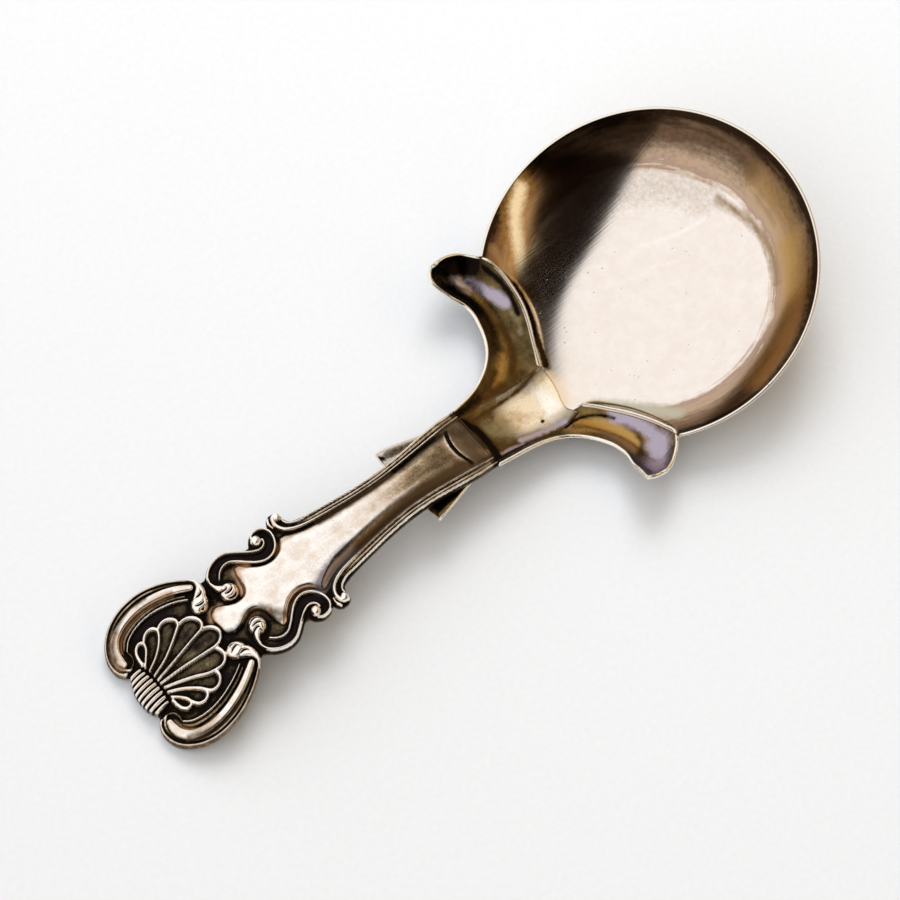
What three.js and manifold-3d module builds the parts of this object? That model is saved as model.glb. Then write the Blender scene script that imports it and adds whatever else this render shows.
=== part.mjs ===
// Caddy spoon in silver sheet: a round dished bowl with two trough shaped shoulders at its neck,
// and a struck handle with scrolls, threads and a scallop shell, held on the neck's flared tail.
// Millimetres. +X runs from the handle's tip to the bowl's tip, +Y to the left, +Z up.
// The spoon lies on the plane z = 0, on its bowl and on the tip of its handle.
import * as THREE from 'three';
import { mergeVertices } from 'three/addons/utils/BufferGeometryUtils.js';
import Module from 'manifold-3d';

const wasm = await Module();
wasm.setup();

// Sheet and seating
const bowlSheet = 0.6;
const rimWidth = 0.4;
const shoulderSheet = 0.5;
const plateThickness = 0.9;
const tailSheet = 0.45;
const solderFilm = 0.12;
const seamGap = 0.3;

// Handle, measured from the line where the shell's base meets the two C scrolls
const tipX = -0.8;
const lapX = 44;
const handleEndX = 44.2;
// [distance along the handle, height of its face over the table]
const faceProfile = [
  [tipX, plateThickness], [0, 1.35], [3, 2.7], [6, 3.9], [9, 4.75], [12, 5.1],
  [20, 5.45], [30, 5.7], [37, 5.7], [41, 5.35], [handleEndX, 4.9],
];

// Bowl, in a frame of its own that is turned about the lap joint. The radii are the rim's outer ones.
const bowlTurn = THREE.MathUtils.degToRad(5.66);
const bowlX = 70.0;
const bowlRadiusX = 18.0;
const bowlRadiusY = 18.38;
const insideX = bowlRadiusX - rimWidth;
const insideY = bowlRadiusY - rimWidth;
const rimHeight = 7.1;
const rimSlope = 0.27;
const flatFraction = 0.2;
const dishPower = 2.05;
const notchAngle = 0.94;
const neckDrift = -0.65;
const neckStartX = 44.45;
const neckEndX = 56.5;

// The spoon is hand finished and not quite even: the right lobe of the handle's head sits nearer
// to the tip and to the middle, the shell leans right, and the left ridge stands further out.
const rightLobeShift = { x: -0.2, y: 0.3, fadeFrom: 10.5, fadeTo: 13 };
const shellDrift = -0.12;
const ridgeBulge = { left: 0.42, right: -0.28 };
const tailDrift = 0.12;

// Finishes
const paleSilver = { color: 0xd8cdbf, roughness: 0.28, metalness: 1 };
const brownSilver = { color: 0x9c8263, roughness: 0.32, metalness: 1 };
const darkSilver = { color: 0x8d8078, roughness: 0.38, metalness: 1 };
const brightSilver = { color: 0xe6ddd0, roughness: 0.25, metalness: 1 };

// Plain helpers

function point(x, y, z) {
  return new THREE.Vector3(x, y, z);
}

// Height or width at x, on straight lines between the listed pairs
function between(pairs, x) {
  if (x <= pairs[0][0]) return pairs[0][1];
  for (let i = 1; i < pairs.length; i += 1) {
    const [x0, v0] = pairs[i - 1];
    const [x1, v1] = pairs[i];
    if (x <= x1) return v0 + ((v1 - v0) * (x - x0)) / (x1 - x0);
  }
  return pairs[pairs.length - 1][1];
}

function face(x) {
  return between(faceProfile, x);
}

// A plan point of the left half, taken to its own side of the handle
function onSide(x, y, side, share = 1) {
  const { x: dx, y: dy, fadeFrom, fadeTo } = rightLobeShift;
  const weight = side > 0 ? 0 : share * (1 - THREE.MathUtils.smoothstep(x, fadeFrom, fadeTo));
  return [x + dx * weight, side * (y - dy * weight)];
}

// From the bowl's own frame to the handle's
function turned(p) {
  const x = p.x - lapX;
  const c = Math.cos(bowlTurn);
  const s = Math.sin(bowlTurn);
  return point(lapX + x * c - p.y * s, x * s + p.y * c, p.z);
}

// A closed body from its vertices and triangles, turned so that its faces point out
function body(vertices, triangles) {
  let volume = 0;
  for (const [a, b, c] of triangles) {
    volume += vertices[a].dot(point(0, 0, 0).crossVectors(vertices[b], vertices[c]));
  }
  const index = triangles.flatMap(([a, b, c]) => (volume > 0 ? [a, b, c] : [a, c, b]));
  const geometry = new THREE.BufferGeometry();
  geometry.setFromPoints(vertices);
  geometry.setIndex(index);
  geometry.computeVertexNormals();
  return geometry;
}

// Sheet between two grids of points that match, closed along its four edges
function sheet(top, bottom) {
  const rows = top.length;
  const columns = top[0].length;
  const vertices = [...top.flat(), ...bottom.flat()];
  const below = rows * columns;
  const at = (r, c) => r * columns + c;
  const triangles = [];
  const quad = (a, b, c, d) => triangles.push([a, b, c], [a, c, d]);
  for (let r = 0; r < rows - 1; r += 1) {
    for (let c = 0; c < columns - 1; c += 1) {
      quad(at(r, c), at(r + 1, c), at(r + 1, c + 1), at(r, c + 1));
      quad(below + at(r, c), below + at(r, c + 1), below + at(r + 1, c + 1), below + at(r + 1, c));
    }
    quad(at(r, 0), below + at(r, 0), below + at(r + 1, 0), at(r + 1, 0));
    const last = columns - 1;
    quad(at(r, last), at(r + 1, last), below + at(r + 1, last), below + at(r, last));
  }
  for (let c = 0; c < columns - 1; c += 1) {
    quad(at(0, c), at(0, c + 1), below + at(0, c + 1), below + at(0, c));
    const end = rows - 1;
    quad(at(end, c), below + at(end, c), below + at(end, c + 1), at(end, c + 1));
  }
  return body(vertices, triangles);
}

// Skin over a row of closed loops, closed at both ends by a fan
function skin(loops) {
  const n = loops[0].length;
  const vertices = loops.flat();
  const triangles = [];
  for (let k = 0; k < loops.length - 1; k += 1) {
    for (let i = 0; i < n; i += 1) {
      const j = (i + 1) % n;
      const a = k * n;
      const b = a + n;
      triangles.push([a + i, a + j, b + j], [a + i, b + j, b + i]);
    }
  }
  const cap = (start, outwards) => {
    const middle = point(0, 0, 0);
    for (let i = 0; i < n; i += 1) middle.addScaledVector(vertices[start + i], 1 / n);
    vertices.push(middle);
    const m = vertices.length - 1;
    for (let i = 0; i < n; i += 1) {
      const j = (i + 1) % n;
      triangles.push(outwards ? [m, start + i, start + j] : [m, start + j, start + i]);
    }
  };
  cap(0, false);
  cap((loops.length - 1) * n, true);
  return body(vertices, triangles);
}

// Raised moulding along a plan curve, standing on the handle's face.
// marks are [x, y, half width, height]; the section is a half round with a flat foot.
function moulding(marks, steps, side) {
  const plan = new THREE.CatmullRomCurve3(marks.map(([x, y]) => point(x, y, 0)), false, 'centripetal');
  const size = new THREE.CatmullRomCurve3(marks.map(([, , w, h]) => point(w, h, 0)), false, 'centripetal');
  const section = [[-1, 0], [-0.92, 0.55], [-0.45, 0.94], [0, 1], [0.45, 0.94], [0.92, 0.55], [1, 0]];
  const loops = [];
  for (let k = 0; k <= steps; k += 1) {
    const t = k / steps;
    const p = plan.getPoint(t);
    const along = plan.getTangent(t);
    const s = size.getPoint(t);
    loops.push(section.map(([across, up]) => {
      const [x, y] = onSide(p.x - along.y * across * s.x, p.y + along.x * across * s.x, side);
      return point(x, y, face(x) + solderFilm + up * s.y);
    }));
  }
  return skin(loops);
}

function toManifold(geometry) {
  const bare = geometry.clone();
  bare.deleteAttribute('normal');
  const merged = mergeVertices(bare, 1e-4);
  const vertProperties = new Float32Array(merged.attributes.position.array);
  const triVerts = new Uint32Array(merged.index.array);
  return new wasm.Manifold(new wasm.Mesh({ numProp: 3, vertProperties, triVerts }));
}

function fused(a, b) {
  const mesh = toManifold(a).add(toManifold(b)).getMesh();
  const geometry = new THREE.BufferGeometry();
  geometry.setAttribute('position', new THREE.BufferAttribute(new Float32Array(mesh.vertProperties), 3));
  geometry.setIndex(new THREE.BufferAttribute(new Uint32Array(mesh.triVerts), 1));
  geometry.computeVertexNormals();
  return geometry;
}

// Bowl

function dishHeight(x, y) {
  const dx = x - bowlX;
  const reach = Math.hypot(dx / insideX, y / insideY);
  if (reach <= flatFraction) return bowlSheet;
  const rim = rimHeight + (rimSlope * dx) / reach;
  const rise = ((reach - flatFraction) / (1 - flatFraction)) ** dishPower;
  return bowlSheet + (rim - bowlSheet) * rise;
}

// Upward normal of the dish by small differences
function dishNormal(x, y) {
  const h = 0.05;
  const zx = (dishHeight(x + h, y) - dishHeight(x - h, y)) / (2 * h);
  const zy = (dishHeight(x, y + h) - dishHeight(x, y - h)) / (2 * h);
  return point(-zx, -zy, 1).normalize();
}

// How far the ridge on one side stands off its mean line, at a distance y from the middle
function bulge(side, y) {
  const [mouth, notch] = [2.7, 14.2];
  const t = THREE.MathUtils.clamp((y - mouth) / (notch - mouth), 0, 1);
  return (side > 0 ? ridgeBulge.left : ridgeBulge.right) * Math.sin(Math.PI * t);
}

// Ridge between bowl and shoulder, from the notch in the rim down to the neck's mouth
function ridge(side) {
  const marks = [[60.0, 12.4], [60.0, 9.9], [59.3, 7.5], [58.1, 5.3], [neckEndX, 3.15]];
  return marks.map(([x, y], i) => {
    const low = (i + 1) / marks.length;
    return [x + bulge(side, y), side * y + neckDrift * low ** 2];
  });
}

// The bowl's outline in plan, anticlockwise from the left notch round by the neck's mouth
function bowlOutline() {
  const rimSteps = 34;
  const outline = ridge(1).map(([x, y]) => ({ x, y, cut: true }));
  outline.push({ x: neckEndX, y: neckDrift, cut: true });
  outline.push(...ridge(-1).reverse().map(([x, y]) => ({ x, y, cut: true })));
  for (let i = 0; i <= rimSteps; i += 1) {
    const a = Math.PI + notchAngle + (i / rimSteps) * 2 * (Math.PI - notchAngle);
    outline.push({ x: bowlX + insideX * Math.cos(a), y: insideY * Math.sin(a), cut: false });
  }
  return outline;
}

function bowl() {
  const fractions = [flatFraction, 0.34, 0.48, 0.62, 0.75, 0.87, 1];
  const outline = bowlOutline();
  const inner = fractions.map((f) => outline.map((o) => {
    const x = bowlX + (o.x - bowlX) * f;
    const y = o.y * f;
    return point(x, y, dishHeight(x, y));
  }));
  const outer = inner.map((ring, k) => ring.map((p, i) => {
    if (k === 0) return point(p.x, p.y, 0);
    if (k < fractions.length - 1) return p.clone().addScaledVector(dishNormal(p.x, p.y), -bowlSheet);
    if (outline[i].cut) return point(p.x, p.y, p.z - bowlSheet);
    const outwards = point(p.x - bowlX, p.y, 0).setLength(rimWidth);
    return p.clone().add(outwards);
  }));
  const loops = [...inner, ...outer.reverse()].map((ring) => ring.map(turned));
  return skin(loops);
}

// Neck and shoulders

function drift(x) {
  const t = THREE.MathUtils.smoothstep(x, neckStartX, neckEndX);
  return neckDrift * t;
}

// The neck's start is cut square to the handle, though the bowl's frame is turned
const squareCutEndX = 48;
function square(x, y) {
  return x + y * Math.tan(bowlTurn) * (1 - THREE.MathUtils.smoothstep(x, neckStartX, squareCutEndX));
}

// Floor of the neck, falling from the handle into the bowl
const neckFloor = [[neckStartX, 4.35], [48.5, 3.3], [52.5, 2.3], [neckEndX, 1.6]];
const neckHalfWidth = [[neckStartX, 2.6], [50, 2.7], [neckEndX, 3.1]];
const neckDip = 0.3;

function neck() {
  const rows = 7;
  const columns = 6;
  const top = [];
  for (let r = 0; r <= rows; r += 1) {
    const x = neckStartX + ((neckEndX - seamGap - neckStartX) * r) / rows;
    const half = between(neckHalfWidth, x);
    const row = [];
    for (let c = 0; c <= columns; c += 1) {
      const across = (2 * c) / columns - 1;
      const y = across * half + drift(x);
      row.push(point(square(x, y), y, between(neckFloor, x) - neckDip * (1 - across ** 2)));
    }
    top.push(row);
  }
  const bottom = top.map((row) => row.map((p) => point(p.x, p.y, p.z - shoulderSheet)));
  return sheet(top.map((row) => row.map(turned)), bottom.map((row) => row.map(turned)));
}

// Each shoulder is a trough. A row holds its inner edge, its outer edge and its depth.
const shoulderRows = [
  { inner: [neckStartX, 2.8, 4.35], outer: [neckStartX, 3.85, 4.85], depth: 0.1 },
  { inner: [48.5, 2.88, 3.3], outer: [47.3, 4.1, 4.3], depth: 0.15 },
  { inner: [52.5, 3.05, 2.3], outer: [49.6, 4.7, 3.7], depth: 0.25 },
  { inner: [56.2, 3.4, 1.65], outer: [51.3, 5.5, 3.3], depth: 0.4 },
  { inner: [57.6, 5.5, 1.7], outer: [52.7, 6.8, 3.1], depth: 0.7 },
  { inner: [58.8, 7.6, 2.15], outer: [53.8, 8.3, 3.0], depth: 0.9 },
  { inner: [59.5, 9.9, 2.7], outer: [54.6, 10.2, 3.05], depth: 1.1 },
  { inner: [59.5, 12.3, 3.3], outer: [54.8, 12.2, 3.35], depth: 1.3 },
  { inner: [58.95, 14.9, 4.0], outer: [54.1, 14.3, 4.6], depth: 1.5 },
  { inner: [57.6, 16.6, 4.2], outer: [53.35, 15.8, 6.2], depth: 1.3 },
  { inner: [56.1, 17.1, 4.8], outer: [53.85, 16.5, 6.3], depth: 0.4 },
];
// The neck's drift dies out along the trough's inner edge between these distances from the middle
const leanFrom = 3.4;
const leanTo = 12.4;

function shoulder(side) {
  const columns = 6;
  const top = shoulderRows.map(({ inner, outer, depth }) => {
    const row = [];
    for (let c = 0; c <= columns; c += 1) {
      const t = c / columns;
      const fade = 1 - THREE.MathUtils.clamp((inner[1] - leanFrom) / (leanTo - leanFrom), 0, 1);
      const x = inner[0] + (outer[0] - inner[0]) * t + bulge(side, inner[1]) * (1 - t);
      const y = side * (inner[1] + (outer[1] - inner[1]) * t) + drift(inner[0]) * (1 - t) * fade;
      const z = inner[2] + (outer[2] - inner[2]) * t - depth * 4 * t * (1 - t);
      row.push(point(square(x, y), y, z));
    }
    return row;
  });
  const bottom = top.map((row) => row.map((p) => point(p.x, p.y, p.z - shoulderSheet)));
  return sheet(top.map((row) => row.map(turned)), bottom.map((row) => row.map(turned)));
}

// Handle plate: the struck blank, whose outline holds the two scroll lobes and the stem

// [distance along the handle, half width of the blank]
const blankOutline = [
  [0.6, 7.85], [1.8, 8.6], [3.2, 9.0], [4.7, 9.1], [6.4, 8.85], [8.0, 8.2], [9.4, 7.4], [10.6, 6.4],
  [11.2, 5.7], [11.6, 5.15], [12.0, 5.25], [12.7, 5.75], [13.5, 6.2], [14.5, 6.4], [15.5, 6.2],
  [16.5, 5.6], [17.4, 5.0], [17.8, 5.1], [18.4, 5.9], [19.3, 6.2], [20.1, 6.1], [20.8, 5.5],
  [21.3, 6.0], [21.9, 6.4], [22.5, 6.2], [22.8, 4.8], [23.6, 4.45], [25, 4.15], [27, 3.8],
  [30, 3.4], [33, 3.2], [36, 3.3], [39, 3.6], [42, 3.85], [handleEndX, 3.85],
];
// The tip's edge: [share of the half width, distance along the handle]
const tipEdge = [[0, -0.7], [0.22, -0.45], [0.44, 0.12], [0.6, -0.65], [0.78, tipX], [1, -0.3]];
const tipHalfWidth = 6.6;

function handlePlate() {
  const shares = [...tipEdge.slice(1).reverse().map(([s]) => -s), ...tipEdge.map(([s]) => s)];
  const place = (x, half, s) => {
    const [px, py] = onSide(x, Math.abs(s) * half, Math.sign(s) || 1, Math.abs(s));
    return point(px, py, face(px));
  };
  const top = [shares.map((s) => place(between(tipEdge, Math.abs(s)), tipHalfWidth, s))];
  for (const [x, half] of blankOutline) top.push(shares.map((s) => place(x, half, s)));
  const bottom = top.map((row) => row.map((p) => point(p.x, p.y, p.z - plateThickness)));
  return sheet(top, bottom);
}

// Smooth convex middle of the handle: [distance, half width, height in the middle]
const crownEndX = 41.1;
const crownMarks = [
  [9.95, 0.8, 0.35], [10.5, 1.45, 0.6], [11.3, 1.8, 0.75], [12.1, 1.5, 0.8], [13, 1.12, 0.8],
  [13.8, 1.12, 0.8], [14.6, 1.6, 0.85], [15.8, 2.2, 0.9], [17, 2.35, 0.9], [18.6, 2.1, 0.9],
  [20, 2.4, 0.9], [21.2, 3.0, 0.9], [22.4, 3.0, 0.9], [24, 2.75, 0.9], [27, 2.5, 0.9],
  [30, 2.2, 0.9], [33, 2.05, 0.9], [36, 2.1, 0.85], [38.5, 2.2, 0.75], [crownEndX, 2.3, 0.6],
];
const crownEdge = 0.16;
const crownFullness = 2.4;
// Its end is cut to an arc this deep, worked out over this length
const lapArc = 0.8;
const lapArcLength = 4;

function crown() {
  const columns = 8;
  const bend = (x, across) => {
    const t = THREE.MathUtils.smoothstep(x, crownEndX - lapArcLength, crownEndX);
    return x + lapArc * across ** 2 * t;
  };
  const place = (height) => crownMarks.map(([x, half, h]) => {
    const row = [];
    for (let c = 0; c <= columns; c += 1) {
      const across = (2 * c) / columns - 1;
      const px = bend(x, across);
      const up = height ? crownEdge + (h - crownEdge) * (1 - Math.abs(across) ** crownFullness) : 0;
      row.push(point(px, across * half, face(px) + solderFilm + up));
    }
    return row;
  });
  return sheet(place(true), place(false));
}

// Filling piece between the crown's curved end and the neck
function lapPlate() {
  const rows = 3;
  const columns = 6;
  const half = 2.45;
  const thickness = 0.42;
  const place = (up) => {
    const grid = [];
    for (let r = 0; r <= rows; r += 1) {
      const row = [];
      for (let c = 0; c <= columns; c += 1) {
        const across = (2 * c) / columns - 1;
        const start = crownEndX + seamGap + lapArc * across ** 2;
        const x = start + ((lapX - start) * r) / rows;
        row.push(point(x, across * half, face(x) + solderFilm + up));
      }
      grid.push(row);
    }
    return grid;
  };
  return sheet(place(thickness), place(0));
}

// Ornament along the handle. Marks are [x, y, half width, height].

function borderThread(side) {
  const marks = [
    [22.4, 6.05, 0.22, 0.3], [21.98, 5.3, 0.4, 0.5], [22.25, 4.6, 0.5, 0.5], [23, 4.05, 0.5, 0.45],
    [24.5, 3.7, 0.46, 0.42], [27, 3.33, 0.46, 0.42], [30, 2.95, 0.46, 0.42], [33, 2.78, 0.46, 0.42],
    [36, 2.9, 0.46, 0.42], [39, 3.2, 0.46, 0.4], [42, 3.38, 0.42, 0.35], [43.8, 3.4, 0.35, 0.25],
  ];
  return moulding(marks, 26, side);
}

const scrollEye = [[18.35, 5.0, 0.3, 0.5], [18.95, 5.12, 0.45, 0.75], [19.45, 5.3, 0.3, 0.5]];

function sScroll(side) {
  const marks = [
    [13.75, 2.75, 0.3, 0.4], [13.5, 2.05, 0.5, 0.65], [12.75, 2.2, 0.6, 0.8], [12.45, 3.3, 0.45, 0.75],
    [12.65, 4.6, 0.5, 0.6], [13.4, 5.45, 0.56, 0.6], [14.6, 5.7, 0.6, 0.6], [15.7, 5.15, 0.6, 0.6],
    [16.8, 4.05, 0.6, 0.6], [17.8, 3.4, 0.6, 0.6], [18.8, 3.3, 0.6, 0.6], [19.75, 3.75, 0.58, 0.6],
    [20.15, 4.7, 0.5, 0.6], [19.9, 5.5, 0.36, 0.55], [19.3, 5.85, 0.22, 0.5],
  ];
  return fused(moulding(marks, 34, side), moulding(scrollEye, 6, side));
}

function cScroll(side) {
  const marks = [
    [0.5, 4.1, 0.3, 0.45], [0.42, 4.7, 0.5, 0.8], [0.5, 5.6, 0.5, 0.85], [1.2, 6.75, 0.5, 0.9],
    [2.5, 7.45, 0.5, 0.95], [4.2, 7.7, 0.52, 1.0], [6.0, 7.5, 0.52, 1.0], [7.8, 6.9, 0.5, 0.95],
    [9.4, 6.15, 0.5, 0.9], [10.5, 5.4, 0.6, 0.95], [10.8, 4.4, 0.58, 0.95], [10.45, 3.45, 0.6, 0.9],
    [9.75, 3.3, 0.4, 0.6],
  ];
  return moulding(marks, 30, side);
}

function cWire(side) {
  const marks = [
    [1.75, 5.2, 0.08, 0.2], [2.4, 5.9, 0.15, 0.35], [3.4, 6.3, 0.18, 0.4], [4.6, 6.4, 0.18, 0.4],
    [5.9, 6.25, 0.18, 0.4], [7.3, 5.85, 0.16, 0.35], [8.5, 5.35, 0.12, 0.3], [9.2, 4.85, 0.08, 0.2],
  ];
  return moulding(marks, 16, side);
}

// Scallop shell: rays between the lobes, as [start y, end x, end y], and lobe tips as [x, y],
// listed from the middle outwards for one side
const shellRays = [[0.38, 8.3, 1.15], [1.05, 6.95, 3.15], [1.7, 5.0, 4.1], [2.2, 3.2, 4.2], [2.5, 2.3, 4.1]];
const shellTips = [[9.7, 0], [8.85, 2.25], [6.6, 4.4], [4.4, 4.9], [2.75, 4.6]];
const shellRootX = 1.85;
const shellFloor = 0.2;
const shellRidge = 0.5;
const lobeSwell = { x: 0.35, y: 0.1 };

function shellColumns() {
  const half = [];
  shellRays.forEach(([rootY, endX, endY], k) => {
    const [tx, ty] = shellTips[k];
    const previous = k === 0 ? [-rootY, endX, -endY] : shellRays[k - 1];
    const middleRoot = (previous[0] + rootY) / 2;
    const swell = (x, y) => [(tx + x) / 2 + lobeSwell.x, (ty + y) / 2 + lobeSwell.y];
    const near = swell(previous[1], previous[2]);
    if (k > 0) half.push({ rootY: (previous[0] + middleRoot) / 2, end: near, ridge: false });
    half.push({ rootY: middleRoot, end: [tx, ty], ridge: false });
    half.push({ rootY: (rootY + middleRoot) / 2, end: swell(endX, endY), ridge: false });
    half.push({ rootY, end: [endX, endY], ridge: true });
  });
  const other = half.slice(1).map((c) => ({ ...c, rootY: -c.rootY, end: [c.end[0], -c.end[1]] }));
  return [...other.reverse(), ...half];
}

function shell() {
  const steps = 5;
  const columns = shellColumns();
  const place = (raised) => {
    const grid = [];
    for (let r = 0; r <= steps; r += 1) {
      const t = r / steps;
      grid.push(columns.map(({ rootY, end, ridge: onRay }) => {
        const x = shellRootX + (end[0] - shellRootX) * t;
        const y = rootY + (end[1] - rootY) * t + shellDrift;
        const top = onRay || r === steps ? shellRidge : shellFloor;
        return point(x, y, face(x) + solderFilm + (raised ? top : 0));
      }));
    }
    return grid;
  };
  return sheet(place(true), place(false));
}

// Reeded boss under the shell: ribs that run along the handle
function shellBase() {
  const ribs = 9;
  const halfWidth = 2.6;
  const bossEndX = 1.6;
  const bossTip = 1.1;
  const tipRound = 0.85;
  const foot = 0.3;
  const dome = 0.6;
  const ribDepth = 0.16;
  const sideFall = 0.5;
  const [domeFrom, domeTo] = [0.12, 0.88];
  const steps = 5;
  const place = (raised) => {
    const grid = [];
    for (let r = 0; r <= steps; r += 1) {
      const t = r / steps;
      const row = [];
      for (let c = 0; c <= ribs * 2; c += 1) {
        const across = c / ribs - 1;
        const startX = -bossTip * Math.sqrt(1 - tipRound * across ** 2);
        const x = startX + (bossEndX - startX) * t;
        const swell = Math.sin(Math.PI * (domeFrom + (domeTo - domeFrom) * t));
        const groove = c % 2 === 0 ? ribDepth : 0;
        const up = foot + dome * swell * (1 - sideFall * across ** 2) - groove;
        row.push(point(x, across * halfWidth, face(x) + solderFilm + (raised ? up : 0)));
      }
      grid.push(row);
    }
    return grid;
  };
  return sheet(place(true), place(false));
}

// Tail of the neck: it runs on under the end of the handle, flares past the stem on both sides,
// turns its side edges up and ends in a lip that is turned down

const tailEndX = 35.4;
const tailStartX = 46.6;
const tailLipDrop = 0.5;
const tailHalfWidth = [
  [tailEndX, 4.85], [38, 4.5], [40.5, 4.05], [43, 3.6], [neckStartX, 2.6], [tailStartX, 2.4],
];
const tailWingRise = [[tailEndX, 0.5], [41, 0.03], [43, 0]];
// Where the tail leaves the handle's underside for the neck's
const tailBendX = 41;

function tailTop(x) {
  const underNeck = between(neckFloor, x) - neckDip - shoulderSheet - solderFilm;
  const underPlate = face(x) - plateThickness - solderFilm;
  return THREE.MathUtils.lerp(underPlate, underNeck, THREE.MathUtils.smoothstep(x, tailBendX, neckStartX));
}

function tail() {
  const shares = [-1, -0.86, -0.7, -0.35, 0, 0.35, 0.7, 0.86, 1];
  const wing = [1, 0.45, 0, 0, 0, 0, 0, 0.45, 1];
  const lipTop = [[-0.7, -tailLipDrop], [-0.62, -0.25], [-0.35, -0.04]];
  const lipBottom = [[-0.3, -tailLipDrop - 0.2], [-0.25, -tailSheet - 0.1], [-0.12, -tailSheet - 0.02]];
  const row = (x, z) => shares.map((s, i) => {
    const along = Math.max(x, tailEndX);
    const y = s * between(tailHalfWidth, along) + tailDrift;
    return point(x, y, z + wing[i] * between(tailWingRise, along));
  });
  const top = lipTop.map(([dx, dz]) => row(tailEndX + dx, tailTop(tailEndX) + dz));
  const bottom = lipBottom.map(([dx, dz]) => row(tailEndX + dx, tailTop(tailEndX) + dz));
  for (const x of [tailEndX, 36.6, 38, 39.5, tailBendX, 42, 43, 43.8, neckStartX, 45.5, tailStartX]) {
    top.push(row(x, tailTop(x)));
    bottom.push(row(x, tailTop(x) - tailSheet));
  }
  return sheet(top, bottom);
}

// Assembly

function piece(name, geometry, finish) {
  const mesh = new THREE.Mesh(geometry, new THREE.MeshStandardMaterial(finish));
  mesh.name = name;
  return mesh;
}

const spoon = new THREE.Group();
spoon.add(piece('bowl', bowl(), paleSilver));
spoon.add(piece('neck_channel', neck(), brownSilver));
spoon.add(piece('handle_plate', handlePlate(), darkSilver));
spoon.add(piece('stem_crown', crown(), brightSilver));
spoon.add(piece('lap_plate', lapPlate(), brownSilver));
spoon.add(piece('shell', shell(), darkSilver));
spoon.add(piece('shell_base', shellBase(), brightSilver));
for (const [name, side] of [['left', 1], ['right', -1]]) {
  spoon.add(piece(`shoulder_${name}`, shoulder(side), brownSilver));
  spoon.add(piece(`border_${name}`, borderThread(side), brightSilver));
  spoon.add(piece(`s_scroll_${name}`, sScroll(side), brightSilver));
  spoon.add(piece(`c_scroll_${name}`, cScroll(side), brightSilver));
  spoon.add(piece(`c_wire_${name}`, cWire(side), brightSilver));
}
spoon.add(piece('neck_tail', tail(), brownSilver));

// The origin is under the middle of the spoon's box
const box = new THREE.Box3().setFromObject(spoon, true);
const middle = box.getCenter(point(0, 0, 0));
spoon.position.set(-middle.x, -middle.y, 0);

export default spoon;
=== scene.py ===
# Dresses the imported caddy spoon: a struck silver handle, a raised bowl, tarnish, light and camera.
import math

import bpy
import numpy as np
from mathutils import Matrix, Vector


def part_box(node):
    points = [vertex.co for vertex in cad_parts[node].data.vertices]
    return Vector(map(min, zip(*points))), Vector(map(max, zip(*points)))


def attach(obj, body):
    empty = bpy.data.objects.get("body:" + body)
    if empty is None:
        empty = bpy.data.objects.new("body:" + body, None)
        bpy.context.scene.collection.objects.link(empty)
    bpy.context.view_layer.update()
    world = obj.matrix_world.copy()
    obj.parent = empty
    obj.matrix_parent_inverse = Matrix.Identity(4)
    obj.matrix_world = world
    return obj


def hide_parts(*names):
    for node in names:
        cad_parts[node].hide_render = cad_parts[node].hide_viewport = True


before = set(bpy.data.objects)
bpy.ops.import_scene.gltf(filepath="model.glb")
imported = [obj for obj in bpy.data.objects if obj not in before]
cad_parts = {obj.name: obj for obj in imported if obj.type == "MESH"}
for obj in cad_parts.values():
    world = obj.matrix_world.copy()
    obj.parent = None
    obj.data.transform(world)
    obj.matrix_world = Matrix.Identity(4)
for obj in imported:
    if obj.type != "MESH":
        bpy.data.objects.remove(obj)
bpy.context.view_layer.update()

MM = 0.001

# Handle, in millimetres from the line where the shell's boss meets the two C scrolls
BOSS_TIP_X = -1.1
TIP_X = -0.8
HANDLE_END_X = 44.2
PLATE_THICKNESS = 0.9
EDGE_ROUND = 0.2
RELIEF_STEP = 0.065
FACE_PROFILE = [
    (TIP_X, PLATE_THICKNESS), (0, 1.35), (3, 2.7), (6, 3.9), (9, 4.75), (12, 5.1),
    (20, 5.45), (30, 5.7), (37, 5.7), (41, 5.35), (HANDLE_END_X, 4.9),
]

# Bowl and neck, in a frame of their own that is turned about the lap joint
LAP_X = 44.0
BOWL_TURN = math.radians(5.66)
BOWL_X = 70.0
RIM_RADIUS_X = 18.0
RIM_RADIUS_Y = 18.38
RIM_WIDTH = 0.4
INSIDE_X = RIM_RADIUS_X - RIM_WIDTH
INSIDE_Y = RIM_RADIUS_Y - RIM_WIDTH
BOWL_SHEET = 0.6
SHOULDER_SHEET = 0.45
TAIL_SHEET = 0.45
RIM_HEIGHT = 7.1
RIM_SLOPE = 0.27
RIM_SHEET = 0.42
FLAT_FRACTION = 0.2
DISH_POWER = 2.05
NOTCH_ANGLE = 0.94
NECK_START_X = 44.5
NECK_SQUARE_X = 48.0

# The hand finished spoon isn't quite even
RIGHT_SHIFT = [(10.5, -0.2, 0.1), (13.0, 0.0, -0.18), (20.0, 0.0, -0.1), (23.0, 0.0, 0.0)]

# Films of tarnish, places that are rubbed bright or carry a painted highlight, and strokes of painted shade
# and reflection
TONES = ("straw", "umber", "olive", "violet", "shade", "rubbed_and_highlight")

boss_low, boss_high = (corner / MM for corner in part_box("shell_base"))
HANDLE_ORIGIN = np.array([boss_low.x - BOSS_TIP_X, (boss_low.y + boss_high.y) / 2, 0.0])


# Plain helpers

def step_up(value, low, high):
    """0 below low, 1 above high, smooth between."""
    t = np.clip((np.asarray(value, float) - low) / (high - low), 0, 1)
    return t * t * (3 - 2 * t)


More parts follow.
